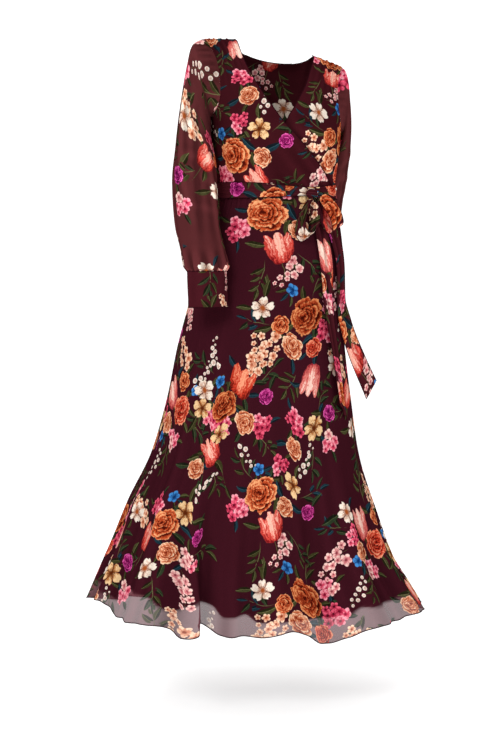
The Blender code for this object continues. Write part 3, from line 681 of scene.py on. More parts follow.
def sash_form(columns, rows):
    angle = (360 * np.arange(columns) / columns)[None, :]
    up = steps(rows)[:, None]
    near_knot = ridge(degrees_apart(angle, KNOT_AT[0]), 34.0)
    low = SASH_BOTTOM + 0.006 * near_knot
    high = SASH_TOP - 0.010 * near_knot
    lift = BAND_LIFT + SASH_FLARE * (1 - up)
    turns = np.radians(angle)
    for place, width, height, phase in SASH_FOLDS:
        crest = place + 0.055 * np.sin(2 * turns + phase) + 0.03 * np.sin(5 * turns + 2 * phase)
        lift = lift + height * ridge(up - crest, width) * (0.55 + 0.45 * np.sin(3 * turns + phase) ** 2)
    return on_body(angle, low + (high - low) * up, lift)


RIBBON_CREASES = ((-0.48, 0.0024), (0.08, -0.0020), (0.56, 0.0022))  # place across the ribbon, height


def ribbon_form(table, columns, rows, slant, seed):
    """A length of sash, creased along its length and drawn together where the knot holds it."""
    side = np.linspace(-1, 1, columns + 1)[None, :]
    along = steps(rows)[:, None] * (1 - abs(slant) * (1 - np.sign(slant) * side) / 2)
    read = {name: table(name, along) for name in table.names[1:]}
    centre = on_body(read["angle"], read["level"], read["lift"])
    around, up, out = axes_at(read["angle"], read["level"])
    across, tilt = np.radians(read["across"])[..., None], np.radians(read["tilt"])[..., None]
    flat = np.cos(across) * around + np.sin(across) * up
    width = np.cos(tilt) * flat + np.sin(tilt) * out
    proud = np.cos(tilt) * out - np.sin(tilt) * flat
    lift = np.zeros(along.shape)
    for place, height in RIBBON_CREASES:
        crest = place + 0.10 * np.sin(5 * along + seed + 3 * place)
        lift += height * ridge(side - crest, 0.17)
    lift *= ease((read["width"] - 0.010) / 0.016)
    return (centre + width * (side * read["width"] / 2)[..., None] + proud * lift[..., None])[::-1]


def knot_form(columns, rows):
    """The sash's knot: one turn of the ribbon drawn tight, creased round its waist."""
    angle, level = (np.array(value) for value in KNOT_AT)
    around, up, out = axes_at(angle, level)
    half_round, half_up, half_out = KNOT_HALF
    centre = on_body(angle, level, BAND_LIFT + SASH_FLARE + 0.00095 + half_out)
    polar = np.linspace(0.02, np.pi - 0.02, rows + 1)[:, None]
    turn = (TURN * np.arange(columns) / columns)[None, :]
    a, o, u = np.sin(polar) * np.cos(turn), np.sin(polar) * np.sin(turn), np.cos(polar) + 0 * turn
    full = 1 - 0.16 * (1 - np.abs(u)) * np.abs(a) ** 0.5
    creased = 1 + 0.085 * np.sin(10 * u + 3.4 * a + 0.8 * np.sin(2 * turn)) * np.sin(polar)
    return (
        centre
        + around * (a * half_round * creased)[..., None]
        + up * (u * half_up * full * creased)[..., None]
        - out * (o * half_out * creased)[..., None]
    )


# ---- cloth pieces ----


def running(lengths):
    """How far along each end of these lengths lies."""
    return np.concatenate([[0], np.cumsum(lengths)])


def flat_coordinates(points, middle, closed, flared):
    """Each point's place in the flat cloth: across from the middle column, and along from the lowest row.
    A straight piece is cut as an oblong and a flared one as part of a ring."""
    loop = np.concatenate([points, points[:, :1]], axis=1) if closed else points
    strides = np.linalg.norm(np.diff(loop, axis=1), axis=-1)
    widths = strides.sum(axis=1)
    share = running((strides / widths[:, None]).mean(axis=0))
    across = (share - share[middle])[None, :]
    up = running(np.linalg.norm(np.diff(loop, axis=0), axis=-1).mean(axis=1))[:, None]
    if not flared:
        return np.stack(np.broadcast_arrays(across * np.quantile(widths, 0.3), up), axis=-1)
    narrowing, widest = -np.polyfit(up[:, 0], widths, 1) * (1, -1)
    radius = widest / narrowing - up
    turn = across * narrowing
    return np.stack([radius * np.sin(turn), radius[0] - radius * np.cos(turn)], axis=-1)


def round_body(points):
    """The places in the flat cloth of a piece that lies on the figure: round it, and up it."""
    chest = section(np.arange(0.0, 361.0), -0.22)
    length = running(np.linalg.norm(np.diff(chest, axis=0), axis=-1))
    about = np.degrees(np.arctan2(chest[:, 0], -chest[:, 1])) % 360
    about[-1] = 360
    x, y, level = np.moveaxis(points, -1, 0)
    own = np.degrees(np.arctan2(x, -y))
    left, right = np.interp(own, about, length), np.interp(own + 360, about, length) - length[-1]
    across = np.where(own < 0, right, left)
    # over the shoulder the cloth lies flat: its way out from the neck and back to the seam counts instead
    high = ease((level + 0.15) / 0.11)
    outward = 1.3 * x
    if y.mean() > 0:
        across = across % length[-1]
        outward = length[-1] / 2 - outward
    return np.stack([across + (outward - across) * high, level + 0.7 * high * (0.10 - np.abs(y))], axis=-1)


def turned(flat, degrees, shift):
    """Flat coordinates laid on the printed cloth: turned, then moved."""
    a = np.radians(degrees)
    u, v = flat[..., 0], flat[..., 1]
    return np.stack([u * np.cos(a) - v * np.sin(a), u * np.sin(a) + v * np.cos(a)], axis=-1) + shift


def place_in_scene(name, data):
    placed = bpy.data.objects.new(name, data)
    bpy.context.scene.collection.objects.link(placed)
    return placed


def mesh_object(name, points, faces, finish):
    mesh = bpy.data.meshes.new(name)
    mesh.from_pydata(np.reshape(points, (-1, 3)).tolist(), [], faces.tolist())
    mesh.shade_smooth()
    mesh.materials.append(finish)
    return place_in_scene(name, mesh)


def grid_faces(rows, columns, closed=False, looped=False):
    """The faces of a grid of points. Its columns may be closed into a ring, and its rows looped into one."""
    r, c = np.meshgrid(np.arange(rows - (not looped)), np.arange(columns - (not closed)), indexing="ij")
    above, after = (r + 1) % rows, (c + 1) % columns
    corners = [r * columns + c, r * columns + after, above * columns + after, above * columns + c]
    return np.stack(corners, axis=-1).reshape(-1, 4)


def blurred(points, axis, closed):
    """The grid with its small folds smoothed away along one of its two ways."""
    count = points.shape[axis]
    reach = 5 if count > 24 else 3
    pads = [(0, 0)] * 3
    pads[axis] = (reach, reach)
    how = {"mode": "wrap"} if closed else {"mode": "reflect", "reflect_type": "odd"}
    padded = np.pad(points, pads, **how)
    moved = [np.take(padded, range(k, k + count), axis=axis) for k in range(2 * reach + 1)]
    return sum(moved) / len(moved)


def fold_shade_depth(points, closed):
    """How deep each point lies in the cloth's folds: 1 deep in a hollow, and -1 on a crest. The materials paint
    shade into the hollows and light onto the crests from it.
    """
    out = unit(points - points.mean(axis=1, keepdims=True) if closed else points * (1, 1, 0))
    depth = ((blurred(blurred(points, 1, closed), 0, False) - points) * out).sum(axis=-1)
    return np.clip((depth - np.median(depth, axis=1, keepdims=True)) / 0.0015, -1, 1)


def mark_points(mesh, name, values):
    mark = mesh.attributes.new(name, "FLOAT", "POINT")
    mark.data.foreach_set("value", values.ravel())


def cloth(name, points, finish, closed=False, middle=0, turn=0, shift=(0, 0), printed=True, cut="straight"):
    """A cloth piece from a grid of points, rows by columns, with the print that falls on it."""
    piece = mesh_object(name, points, grid_faces(*points.shape[:2], closed), finish)
    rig.ride(piece, "root")
    if cut == "on the body":
        flat = round_body(points)
    else:
        flat = flat_coordinates(points, middle, closed, cut == "flared")
    flat = turned(flat, turn, shift)
    corners = np.stack([flat[:-1, :-1], flat[:-1, 1:], flat[1:, 1:], flat[1:, :-1]], axis=2).reshape(-1, 4, 2)
    uv = piece.data.uv_layers.new(name="cloth")
    uv.uv.foreach_set("vector", corners.astype(np.float32).ravel())
    if printed:
        add_print(piece.data, corners)
        # the fold mark, from which the materials paint shade in the folds' hollows and light on their crests
        mark_points(piece.data, "fold", fold_shade_depth(points, closed))
    return piece


def rolled_edge(name, line, slot, radius, closed=False, finish=None, sides=6):
    """A narrow rolled edge that follows a line of points."""
    ahead = np.roll(line, -1, axis=0) if closed else np.concatenate([line[1:], line[-1:]])
    behind = np.roll(line, 1, axis=0) if closed else np.concatenate([line[:1], line[:-1]])
    way = unit(ahead - behind)
    side = unit(np.cross(way, np.where(np.abs(way[:, 2:]) > 0.9, (1.0, 0, 0), (0, 0, 1.0))))
    top = np.cross(side, way)
    turns = (TURN * np.arange(sides) / sides)[:, None]
    rings = line[:, None] + radius * (side[:, None] * np.cos(turns) + top[:, None] * np.sin(turns))
    roll = mesh_object(name, rings, grid_faces(len(line), sides, True, closed), finish or edge_cloth)
    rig.ride(roll, "root")
    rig.slot(roll, slot)
    return roll


# ---- the print ----


# One repeat of the printed cloth. Next to it the repeat stands half its height lower.
REPEAT = (0.60, 0.64)
KINDS = ("rose", "blossom", "tulip")
# Tones by name: the light, the dark and the heart of each.
BIG_TONES = rows_of(4, """
    orange #f4a874 #ba4824 #4c1009   rust    #e08c58 #9c361a #3c0c07   peach #f8ceaa #cc6f48 #7a2414
    coral  #fab8a4 #cf463c #761418   pink    #f9d0c0 #d76a62 #92242e   flame #f69c78 #c43a26 #5c100c
    cream  #f0e2d2 #c9a08a #9a4c22   gold    #edc694 #a8642f #58240d   fuchsia #ea62ae #961a62 #460a30
""")
SMALL_TONES = rows_of(4, """
    pink   #f9a3b0 #cc3a58 #7c1630   crimson #ea5c78 #9c1a38 #4c0b1c   blush #f6ccc2 #cc7478 #8a3842
    peach  #f8d2b4 #ce7e5e #8c3a1e   white   #f0e2d4 #c4a294 #a87048   blue  #4188ca #153c74 #0a1c3c
""")
LEAF_TONES = rows_of(4, """
    deep   #2b3a26 #121a10 #55603c   olive   #3c3c20 #1a1c0d #6c6c44
    teal   #16353f #0a1a20 #365c66   moss    #464729 #1f210f #7a7a50
""")
# The motifs are placed in millimetres and degrees. These are the bouquets' middles in the repeat; each motif
# below starts with its bouquet's number and its place from there.
BOUQUETS = ((130, 490), (222, 262), (46, 88), (430, 430), (452, 130), (266, 36), (576, 300))
# Big flowers: bouquet, x, y, kind, half size, angle, tone.
BIG = rows_of(7, """
    0  -10  28 rose    44  20 orange     0   16 -50 tulip   38  12 coral    0   54  -6 rose    25  60 peach
    0   76  54 blossom 29  10 gold       0  122   4 rose    19   0 fuchsia  1    4  28 rose    45  70 rust
    1  -26 -44 rose    31   0 peach      1  -60  -2 rose    24 130 orange   1   34 -46 rose    25  30 flame
    1 -106  40 blossom 29  24 cream      1   30 -118 tulip  38 166 pink     1  106 -80 blossom 28  50 cream
    2   22  44 tulip   38 -24 flame      2  -30  -8 rose    38  40 rust     2   26 -44 rose    29 100 peach
    2  -88  36 blossom 30   0 cream      2   82  12 rose    20   0 fuchsia  2  -44 -70 blossom 28  20 gold
    3   -6  30 tulip   41  20 pink       3   46 -16 rose    38   0 flame    3  -30 -40 rose    29  80 peach
    3   60  52 rose    24  10 orange     3  -74  48 blossom 28  30 cream    3  118 -26 blossom 29  50 gold
    4   10  14 rose    39  10 orange     4  -54  -6 tulip   36 -34 coral    4   20 -54 rose    28  80 peach
    4   62  36 blossom 31  40 gold       4  100 -18 rose    20   0 fuchsia  4  -30 -84 blossom 28  15 cream
    5    0   2 blossom 33  10 gold       5   48  30 rose    21   0 fuchsia  5  -58 -46 rose    27  40 peach
    6    0   6 tulip   35  30 coral      6  -46 -34 rose    26   0 peach
""")
# Clusters of small flowers: bouquet, x, y, spread, how many, half size of each, the two tones.
CLUSTERS = rows_of(8, """
    0 -70   2 26 9 12.2 pink crimson     0  36  88 21 6 11.4 crimson pink     1 68  -6 26 9 12.2 crimson pink
    1  66  56 21 6 11.6 pink blush       2 -70 -28 22 7 11.8 pink crimson     2 70 -52 23 7 11.8 crimson pink
    3 -58  -6 23 8 12.0 crimson pink     3  12 -78 23 7 11.8 pink blush       4 -24 68 24 8 12.0 crimson pink
    4  68 -66 21 6 11.6 blush pink       5 -58  12 25 8 12.2 crimson pink     5 50 -36 22 7 11.8 pink blush
    6  34  50 22 7 11.8 pink crimson
""")
# Trails of blossoms or buds along a bent stem: bouquet, root, angle, bend, length, how many, half size, tone.
TRAILS = rows_of(9, """
    1 -60  -50 205  44 120 14 12.8 peach     0  50 -80 262 -50 80  9 11.2 blush
    2  52   76  60  60  90 10 12.0 peach     3  60  86  80  50 85 10 11.8 peach
    3 -90  -40 200  50  85 10 11.6 blush     4 -80  34 120  50 90 10 12.0 peach
    4  50 -100 290 -50  80  9 11.4 blush     0  96  90  40  50 80 10  5.8 white
    1 110   10  30  50  80 10  5.8 white     2 -50  90 110 -50 75  9  5.6 white
    3 100   30  20  50  80 10  5.8 white     4  90  74  60 -50 80  9  5.6 white
    2  20  -96 280  50  70  8  5.6 white
""")
# Buds: bouquet, x, y, angle, half size.
BUDS = rows_of(5, """
    0 -20  88 20 15.0     1 -40 82 -40 16.0     2 -36 56 10 15.0
    3 -60 -64 80 14.5     3 102 18 130 13.5     4  28 76 50 15.0
""")
# Sprays of leaves along a stem: bouquet, root, angle, length, how many pairs, tone.
SPRAYS = rows_of(7, """
    0 -40   66  125 58 3 olive     0  60 -60  -40 58 3 deep     0 -10 -84 -105 60 4 moss
    0 104   40   10 50 3 teal      1  80 -40  -20 56 3 deep     1  10  76   76 62 4 olive
    1 -90    0  165 54 3 teal      1 -10 -100 -120 58 4 moss    2  60  40   40 56 3 deep
    2 -70  -80 -130 58 4 olive     2  60 -70  -50 56 3 moss     2 -60  70  130 54 3 deep
    3  20   84  100 56 4 moss      3 -86  10  170 52 3 teal     3  84 -54  -50 56 3 deep
    3 -20  -90 -110 56 4 olive     4  70  70   40 54 3 deep     4 -80 -44  200 56 3 olive
    4  86  -46  -30 52 3 moss      4 -10 -110 -90 56 4 deep     5  10  40   70 50 3 olive
    5   0  -40  -90 54 3 deep      6 -26  40  120 52 3 moss     6  10 -46  -70 52 3 olive
""")
LEAF_WIDTH, STEM_WIDTH = 0.33, 0.030  # half widths as shares of half lengths
FLOWER_PETALS, BUD_PETALS = 0.34, 0.05  # how deep a small flower's petals are cut
BLUE_BUD_PETALS = 0.22
BUD_SIZE = 8  # a trail's motifs smaller than this are buds


def beside(x, y, away, angle):
    """The point that lies this far away at this angle."""
    a = np.radians(angle)
    return x + away * np.cos(a), y + away * np.sin(a)


def repeat_motifs():
    """The repeat's motifs: big flowers, small ones, and leaves. A row is x, y, half size, angle, code."""
    draw = np.random.default_rng(11)
    tables = (BIG_TONES, SMALL_TONES, LEAF_TONES)
    big_tone, small_tone, leaf_tone = ([row[0] for row in table] for table in tables)
    big, small, leaves = [], [], []

    def leaf(x, y, away, half, angle, tone, width=LEAF_WIDTH):
        """A leaf or a stem that points away from (x, y), its middle this far from there."""
        leaves.append((*beside(x, y, away, angle), half, angle, leaf_tone.index(tone) + width))

    def placed(rows):
        """The rows with their places in the repeat, numbered."""
        for i, (bouquet, x, y, *rest) in enumerate(rows):
            yield (i, BOUQUETS[bouquet][0] + x, BOUQUETS[bouquet][1] + y, *rest)

    for i, x, y, kind, half, angle, tone in placed(BIG):
        seed = 0.1 + 0.8 * draw.random()
        big.append((x, y, half, angle, KINDS.index(kind) * 16 + big_tone.index(tone) + seed))
        for k in range(2 if half < 30 else 3):
            way = angle + 40 + 125 * k + draw.uniform(-25, 25)
            long = draw.uniform(17, 26)
            leaf(x, y, half * 0.74 + long, long, way, leaf_tone[(i + 2 * k) % 4])
        if kind == "tulip":
            leaf(x, y, 55, 30, angle - 90, "olive", STEM_WIDTH)
    for i, x, y, spread, count, half, *pair in placed(CLUSTERS):
        for k in range(count):
            place = beside(x, y, spread * np.sqrt((k + 0.3) / count), np.degrees(2.4 * k + i))
            size = half * draw.uniform(0.8, 1.2)
            code = small_tone.index(pair[k % 3 == 1]) + FLOWER_PETALS + draw.uniform(-0.12, 0.06)
            small.append((*place, size, draw.uniform(0, 72), code))
        for k in range(3):
            leaf(x, y, spread + 13, 16, 120 * k + 50 * i + draw.uniform(-30, 30), leaf_tone[(i + k) % 4])
    for _, x, y, angle, bend, length, count, half, tone in placed(TRAILS):
        for k in range(count):
            share = (k + 0.5) / count
            way = angle + bend * share
            if k % 2 == 0:
                leaf(x, y, 0, length / count, way, "moss", STEM_WIDTH)
            petals = BUD_PETALS if half < BUD_SIZE else FLOWER_PETALS + draw.uniform(-0.14, 0.06)
            tapered = half * (1.1 - 0.5 * share)
            off = tapered * draw.uniform(0.2, 2.0) * (1 if k % 2 else -1)
            size = tapered * draw.uniform(0.62, 1.32)
            code = small_tone.index(tone) + petals
            small.append((*beside(x, y, off, way + 90), size, draw.uniform(0, 72), code))
            x, y = beside(x, y, length / count, way)
    for _, x, y, angle, length, pairs, tone in placed(SPRAYS):
        leaf(x, y, length / 2, length / 2, angle, "moss", STEM_WIDTH)
        for k in range(pairs + 2):
            share = (k + 1.0) / (pairs + 2) + draw.uniform(-0.06, 0.06) * (k <= pairs)
            way = angle + (0 if k > pairs else (1 if k % 2 else -1) * draw.uniform(26, 62))
            half = 18.5 * draw.uniform(0.75, 1.1) * (1.15 - 0.3 * share)
            own_tone = tone if k % 3 else leaf_tone[(k + pairs) % 3]
            root = beside(x, y, length * share, angle)
            leaf(*root, 0.95 * half, half, way, own_tone, draw.uniform(0.26, 0.36))
    for i, x, y, angle, half in placed(BUDS):
        small.append((x, y, half, angle, small_tone.index("blue") + BLUE_BUD_PETALS))
        for k, turn in enumerate((-38, 0, 38)):
            leaf(x, y, 26, 14, angle - 90 + turn, leaf_tone[(i + k) % 4])
    return [np.array(rows) * (0.001, 0.001, 0.001, 1, 1) for rows in (big, small, leaves)]


MOTIFS = repeat_motifs()
LAYERS = (("big_flowers",), ("small_flowers_1", "small_flowers_2"), ("leaves_1", "leaves_2"))


def add_print(mesh, corners):
    """Writes each face corner's place in the motif that covers its face: across, along, and the motif's code.
    Where motifs of a layer meet, a face takes the one whose middle is nearer for its size."""
    low, high = corners.min(axis=(0, 1)), corners.max(axis=(0, 1))
    first = np.floor(low / REPEAT).astype(int) - 1
    last = np.ceil(high / REPEAT).astype(int) + 1
    centres = corners.mean(axis=1)
    radius = np.linalg.norm(corners - centres[:, None], axis=-1).max(axis=1)
    repeats = [(i, j) for i in range(first[0], last[0] + 1) for j in range(first[1], last[1] + 1)]
    for motifs, names, is_leaf in zip(MOTIFS, LAYERS, (False, False, True)):
        placed = np.zeros((len(names), len(corners), 4, 3), np.float32)
        placed[..., 2] = -1
        score = np.full((len(names), len(corners)), np.inf)
        for i, j in repeats:
            for n, (x, y, half, angle, code) in enumerate(motifs):
                middle = np.array([i * REPEAT[0] + x, (j + 0.5 * (i % 2)) * REPEAT[1] + y])
                reach = half * 1.2
                if (middle < low - reach).any() or (middle > high + reach).any():
                    continue
                away = centres - middle
                near = np.nonzero((np.abs(away) < (reach + radius)[:, None]).all(axis=1))[0]
                if not len(near):
                    continue
                a = np.radians(angle)
                turn = np.array([[np.cos(a), -np.sin(a)], [np.sin(a), np.cos(a)]])
                own = away[near] @ turn / half
                wide = 1.25 * (code % 1) + 0.12 if is_leaf else 1.12
                margin = radius[near] / half
                inside = (np.abs(own[:, 0]) < 1.12 + margin) & (np.abs(own[:, 1]) < wide + margin)
                k = n % len(names)
                rank = np.linalg.norm(own / (1, 2 if is_leaf else 1), axis=1)
                take = inside & (rank < score[k][near])
                chosen = near[take]
                score[k][chosen] = rank[take]
                placed[k][chosen, :, :2] = (corners[chosen] - middle) @ turn / half
                placed[k][chosen, :, 2] = code
        for name, values in zip(names, placed):
            layer = mesh.attributes.new(name, "FLOAT_VECTOR", "CORNER")
            layer.data.foreach_set("vector", values.ravel())


# ---- materials ----


def colour(text):
    """A linear colour from a #rrggbb tone."""
    value = np.array([int(text[i : i + 2], 16) for i in (1, 3, 5)]) / 255
    return (*np.where(value <= 0.04045, value / 12.92, ((value + 0.055) / 1.055) ** 2.4), 1.0)


class Value:
    """An output in a shader tree. Sums with it add the nodes that work them out."""

    def __init__(self, graph, socket):
        self.graph, self.socket = graph, socket

    def __add__(self, other):
        return self.graph.maths("ADD", self, other)

    def __sub__(self, other):
        return self.graph.maths("SUBTRACT", self, other)

    def __rsub__(self, other):
        return self.graph.maths("SUBTRACT", other, self)

    def __mul__(self, other):
        return self.graph.maths("MULTIPLY", self, other)

    def __truediv__(self, other):
        return self.graph.maths("DIVIDE", self, other)

    def __pow__(self, other):
        return self.graph.maths("POWER", self, other)

    def __abs__(self):
        return self.graph.maths("ABSOLUTE", self)


class Graph:
    """Short calls that add shader nodes. Where they take a value, a number or a colour does too."""

    def __init__(self, tree):
        self.tree = tree

    def put(self, socket, value):
        if isinstance(value, Value):
            self.tree.links.new(value.socket, socket)
        else:
            socket.default_value = value

    def node(self, kind, inputs=(), output=0, **settings):
        """Adds a node and gives one of its outputs. inputs has a value for each input, by name or number."""
        made = self.tree.nodes.new("ShaderNode" + kind)
        for name, setting in settings.items():
            setattr(made, name, setting)
        for key, value in dict(inputs).items():
            self.put(made.inputs[key], value)
        return Value(self, made.outputs[output])

    def maths(self, operation, *values):
        return self.node("Math", enumerate(values), operation=operation)

    def sin(self, value):
        return self.maths("SINE", value)

    def floor(self, value):
        return self.maths("FLOOR", value)

    def fraction(self, value):
        return self.maths("FRACT", value)

    def most(self, a, b):
        return self.maths("MAXIMUM", a, b)

    def polar(self, x, y):
        return self.maths("SQRT", x * x + y * y), self.maths("ARCTAN2", y, x)

    def fade(self, value, start, end):
        """A smooth step: 0 at start and 1 at end, which may be the lower of the two."""
        low, high, first, last = (start, end, 0, 1) if start < end else (end, start, 1, 0)
        inputs = {"Value": value, "From Min": low, "From Max": high, "To Min": first, "To Max": last}
        return self.node("MapRange", inputs, "Result", interpolation_type="SMOOTHSTEP")

    def band(self, value, middle, half, soft):
        """1 near the middle value and 0 farther off."""
        return self.fade(abs(value - middle), half + soft, half)

    def mix(self, share, a, b, blend="MIX"):
        return self.node("Mix", {"Factor": share, 6: a, 7: b}, 2, data_type="RGBA", blend_type=blend)

    def dimmed(self, shown, share):
        """A colour multiplied by a share."""
        return self.mix(1.0, shown, self.node("CombineColor", dict.fromkeys(range(3), share)), "MULTIPLY")

    def choose(self, index, choices):
        """The tone with this number, from a list."""
        chosen = self.node("ValToRGB", {0: (index + 0.5) / float(len(choices))})
        ramp = chosen.socket.node.color_ramp
        ramp.interpolation = "CONSTANT"
        while len(ramp.elements) < len(choices):
            ramp.elements.new(1.0)
        for i, element in enumerate(ramp.elements):
            element.position = i / len(choices)
        for element, tone in zip(ramp.elements, choices):
            element.color = colour(tone)
        return chosen

    def noise(self, place, scale, detail=2.0, output="Fac"):
        return self.node("TexNoise", {"Vector": place, "Scale": scale, "Detail": detail}, output)

    def parts(self, vector):
        first = self.node("SeparateXYZ", {0: vector})
        return [Value(self, socket) for socket in first.socket.node.outputs]

    def mark(self, name, output="Fac"):
        """What a mesh attribute says."""
        return self.node("Attribute", output=output, attribute_name=name)

    def flat(self):
        """The cloth's flat coordinates, in metres."""
        return self.node("UVMap", uv_map="cloth")


# A rose's petals lie in rings, one inside another: a ring's size, how many petals, their phase, and how far
# the ring sits off the middle, as when the flower is seen from a little to one side.
ROSE_RINGS = rows_of(4, "1 5 0 0   0.79 5 0.35 0.06   0.58 4 0.80 0.10   0.40 4 0.20 0.13   0.24 3 0.65 0.14")
ROSE_HEART = 0.06
# A tulip's petals, the two outer ones first: how it leans, how far it is to the side, half width, base tone.
TULIP_PETALS = ((0.30, 0.34, 0.34, 0.18), (-0.30, -0.34, 0.34, 0.18), (0.0, 0.0, 0.40, 0.38))
STAMENS = "#5e2a12"


class Painter(Graph):
    """Paints the print's motifs over its ground, layer by layer."""

    def __init__(self, tree, ground):
        super().__init__(tree)
        flat = self.flat()
        # a slow wobble, so that no motif repeats exactly and edges look brushed, and a mottle of the ink
        self.shake = [part * 0.36 - 0.18 for part in self.parts(self.noise(flat, 55.0, 3.0, "Color"))[:2]]
        self.strokes = self.noise(flat, 420.0)
        self.patches = self.noise(flat, 130.0) - 0.5
        self.brushed = self.patches * 1.3 + (self.strokes * 0.9 - 0.45)
        self.shown, self.ink = Value(self, ground), 0.0

    def over(self, paint, share):
        self.shown = self.mix(share, self.shown, paint)
        self.ink = self.most(self.ink, share)

    def place(self, layer, wobble):
        """Where a point lies in its motif of this layer, the motif's code, and whether there is one."""
        x, y, code = self.parts(self.mark(layer, "Vector"))
        present = self.maths("GREATER_THAN", code, -0.5)
        return self.shake[0] * wobble + x, self.shake[1] * wobble + y, code, present

    def tones(self, which, table):
        """The light, the dark and the heart tone with this number in a table."""
        return [self.choose(which, [row[k] for row in table]) for k in (1, 2, 3)]

    def leaves(self, layer):
        """Leaves and stems: a lens with a midrib, darker on one side."""
        x, y, code, present = self.place(layer, 0.5)
        light, dark, rib = self.tones(self.floor(code), LEAF_TONES)
        bent = x * x * 0.10 + y
        edge = self.fraction(code) * (1.0 - x * x)
        share = present * self.fade(edge - abs(bent), -0.03, 0.035)
        tint = self.patches * 1.2 + (self.strokes * 0.8 + self.fade(bent, -0.10, 0.12) * 0.6)
        paint = self.mix(self.fade(tint, 0.42, 1.05), dark, light)
        paint = self.mix(self.band(bent, 0.0, 0.012, 0.03) * 0.75, paint, rib)
        self.over(paint, share * (self.strokes * 0.5 + 0.66))

    def small_flowers(self, layer):
        """Small flowers of five petals, and buds with hardly any."""
        x, y, code, present = self.place(layer, 0.9)
        light, dark, heart = self.tones(self.floor(code), SMALL_TONES)
        cut = self.fraction(code)
        r, turn = self.polar(x, y)
        petal = self.sin(turn * 5.0) * 0.5 + 0.5
        outline = 0.98 - cut * (1.0 - self.maths("SQRT", petal))
        lit = self.patches * 1.3 + (r * 0.75 + (self.strokes * 0.8 + self.sin(turn) * 0.10))
        paint = self.mix(self.fade(lit, 0.50, 1.10), dark, light)
        lines = self.fade(petal, 0.34, 0.02) * self.fade(r, 1.0, 0.45)
        paint = self.mix(lines * 0.85, paint, dark)
        centre = self.fade(r, 0.34, 0.12) * self.fade(cut, 0.12, 0.30)
        self.over(self.mix(centre, paint, heart), present * self.fade(outline - r, -0.04, 0.08))

    def big_flowers(self, layer):
        x, y, code, present = self.place(layer, 1.0)
        kind = self.floor(code / 16.0)
        tones = self.tones(self.floor(code - kind * 16.0), BIG_TONES)
        seed = self.fraction(code)
        rose, rose_share = self.rose(x, y, seed, tones)
        flower, share = self.blossom(x, y, seed, tones)
        tulip, tulip_share = self.tulip(x, y, tones)
        is_rose = self.band(kind, KINDS.index("rose"), 0.25, 0.1)
        is_tulip = self.band(kind, KINDS.index("tulip"), 0.25, 0.1)
        flower = self.mix(is_rose, self.mix(is_tulip, flower, tulip), rose)
        share = is_rose * (rose_share - share) + share
        share = is_tulip * (tulip_share - share) + share
        self.over(flower, present * share)

    def painted(self, lit, tones, rough=1.0):
        """The flower's own tone where it is lit this much, from its heart's tone at 0 to its light one at 1."""
        pale, deep, core = tones
        lit = self.brushed * rough + lit
        return self.mix(self.fade(lit, 0.46, 1.0), self.mix(self.fade(lit, 0.0, 0.46), core, deep), pale)

    def rose(self, x, y, seed, tones):
        """Petals light at their rims and dark at their feet, where they lie under the next ring."""
        shown, shares = tones[2], []
        inner_sizes = [ring[0] for ring in ROSE_RINGS[1:]] + [ROSE_HEART]
        for ring, ((size, petals, phase, off), inner) in enumerate(zip(ROSE_RINGS, inner_sizes)):
            away, turn = self.polar(x - (seed - 0.5) * (2 * off), y - off)
            round_it = turn * (petals / TURN) + (seed * 3.0 + (away * 0.25 + phase))
            saw = self.fraction(round_it)
            notch = abs(saw * 2.0 - 1.0) ** 4.0
            rim = (notch * -0.16 + (self.patches * 0.22 + 0.94)) * size
            below = (rim - away) / (size - inner + 0.05)
            own = self.sin((round_it - saw) * 2.4 + (seed * 6.28 + 1.3 * ring))
            streaks = self.sin(round_it * 25.0 + self.patches * 16.0) * 0.09
            lit = below * -1.02 + (own * 0.18 + (notch * -0.36 + (streaks + (1.02 - 0.08 * ring))))
            shares.append(self.fade(rim - away, -0.012, 0.022))
            shown = self.mix(shares[-1], shown, self.painted(lit, tones))
        return shown, shares[0]

    def blossom(self, x, y, seed, tones):
        """An open blossom: five uneven notched petals round a heart with stamens."""
        pale, deep, core = tones
        r, turn = self.polar(x, y)
        spin = seed * 6.28 + turn
        own = self.sin(self.floor(spin * (5 / TURN)) * 2.4 + seed * 9.0)
        petal = abs(self.sin(spin * 2.5))
        notch = self.fade(petal, 0.93, 1.0) * 0.10
        outline = petal**0.42 * (own * 0.07 + 0.62) + 0.32 - notch
        share = self.fade(outline - r, -0.02, 0.05) * self.fade(petal, 0.05, 0.30)
        veins = self.fade(self.sin(spin * 25.0), 0.3, 1.0) * self.fade(r, 0.95, 0.3)
        lit = r * 0.62 + (petal * 0.46 + (own * 0.10 + (veins * -0.22 - 0.02)))
        shown = self.mix(self.fade(lit + self.brushed, 0.28, 0.88), deep, pale)
        shown = self.mix(self.fade(r, 0.40, 0.10), shown, core)
        dots = self.band(r, 0.33, 0.035, 0.03) * self.fade(self.sin(spin * 12.0), 0.45, 0.85)
        return self.mix(dots * 0.85, shown, colour(STAMENS)), self.most(share, self.fade(r, 0.26, 0.20))

    def tulip(self, x, y, tones):
        """Three cupped petals that point up, light along their middles."""
        shown, all_share = tones[1], 0.0
        for lean, sideways, width, base in TULIP_PETALS:
            px = x - ((y + 0.9) * (lean * 0.75) + sideways * 0.55)
            along = (y + (0.04 if sideways else 0.0)) * 1.06
            span = self.maths("SQRT", self.most(1.0 - along * along, 0.0))
            inward = span * (along * -0.10 + (width + 0.04)) - abs(px)
            share = self.fade(inward, -0.01, 0.05)
            streaks = self.sin(px * 34.0 + self.patches * 10.0) * 0.15
            lit = along * 0.34 + (inward * 1.5 + (streaks + base))
            shown = self.mix(share, shown, self.painted(lit, tones, 0.45))
            all_share = self.most(all_share, share)
        return shown, all_share


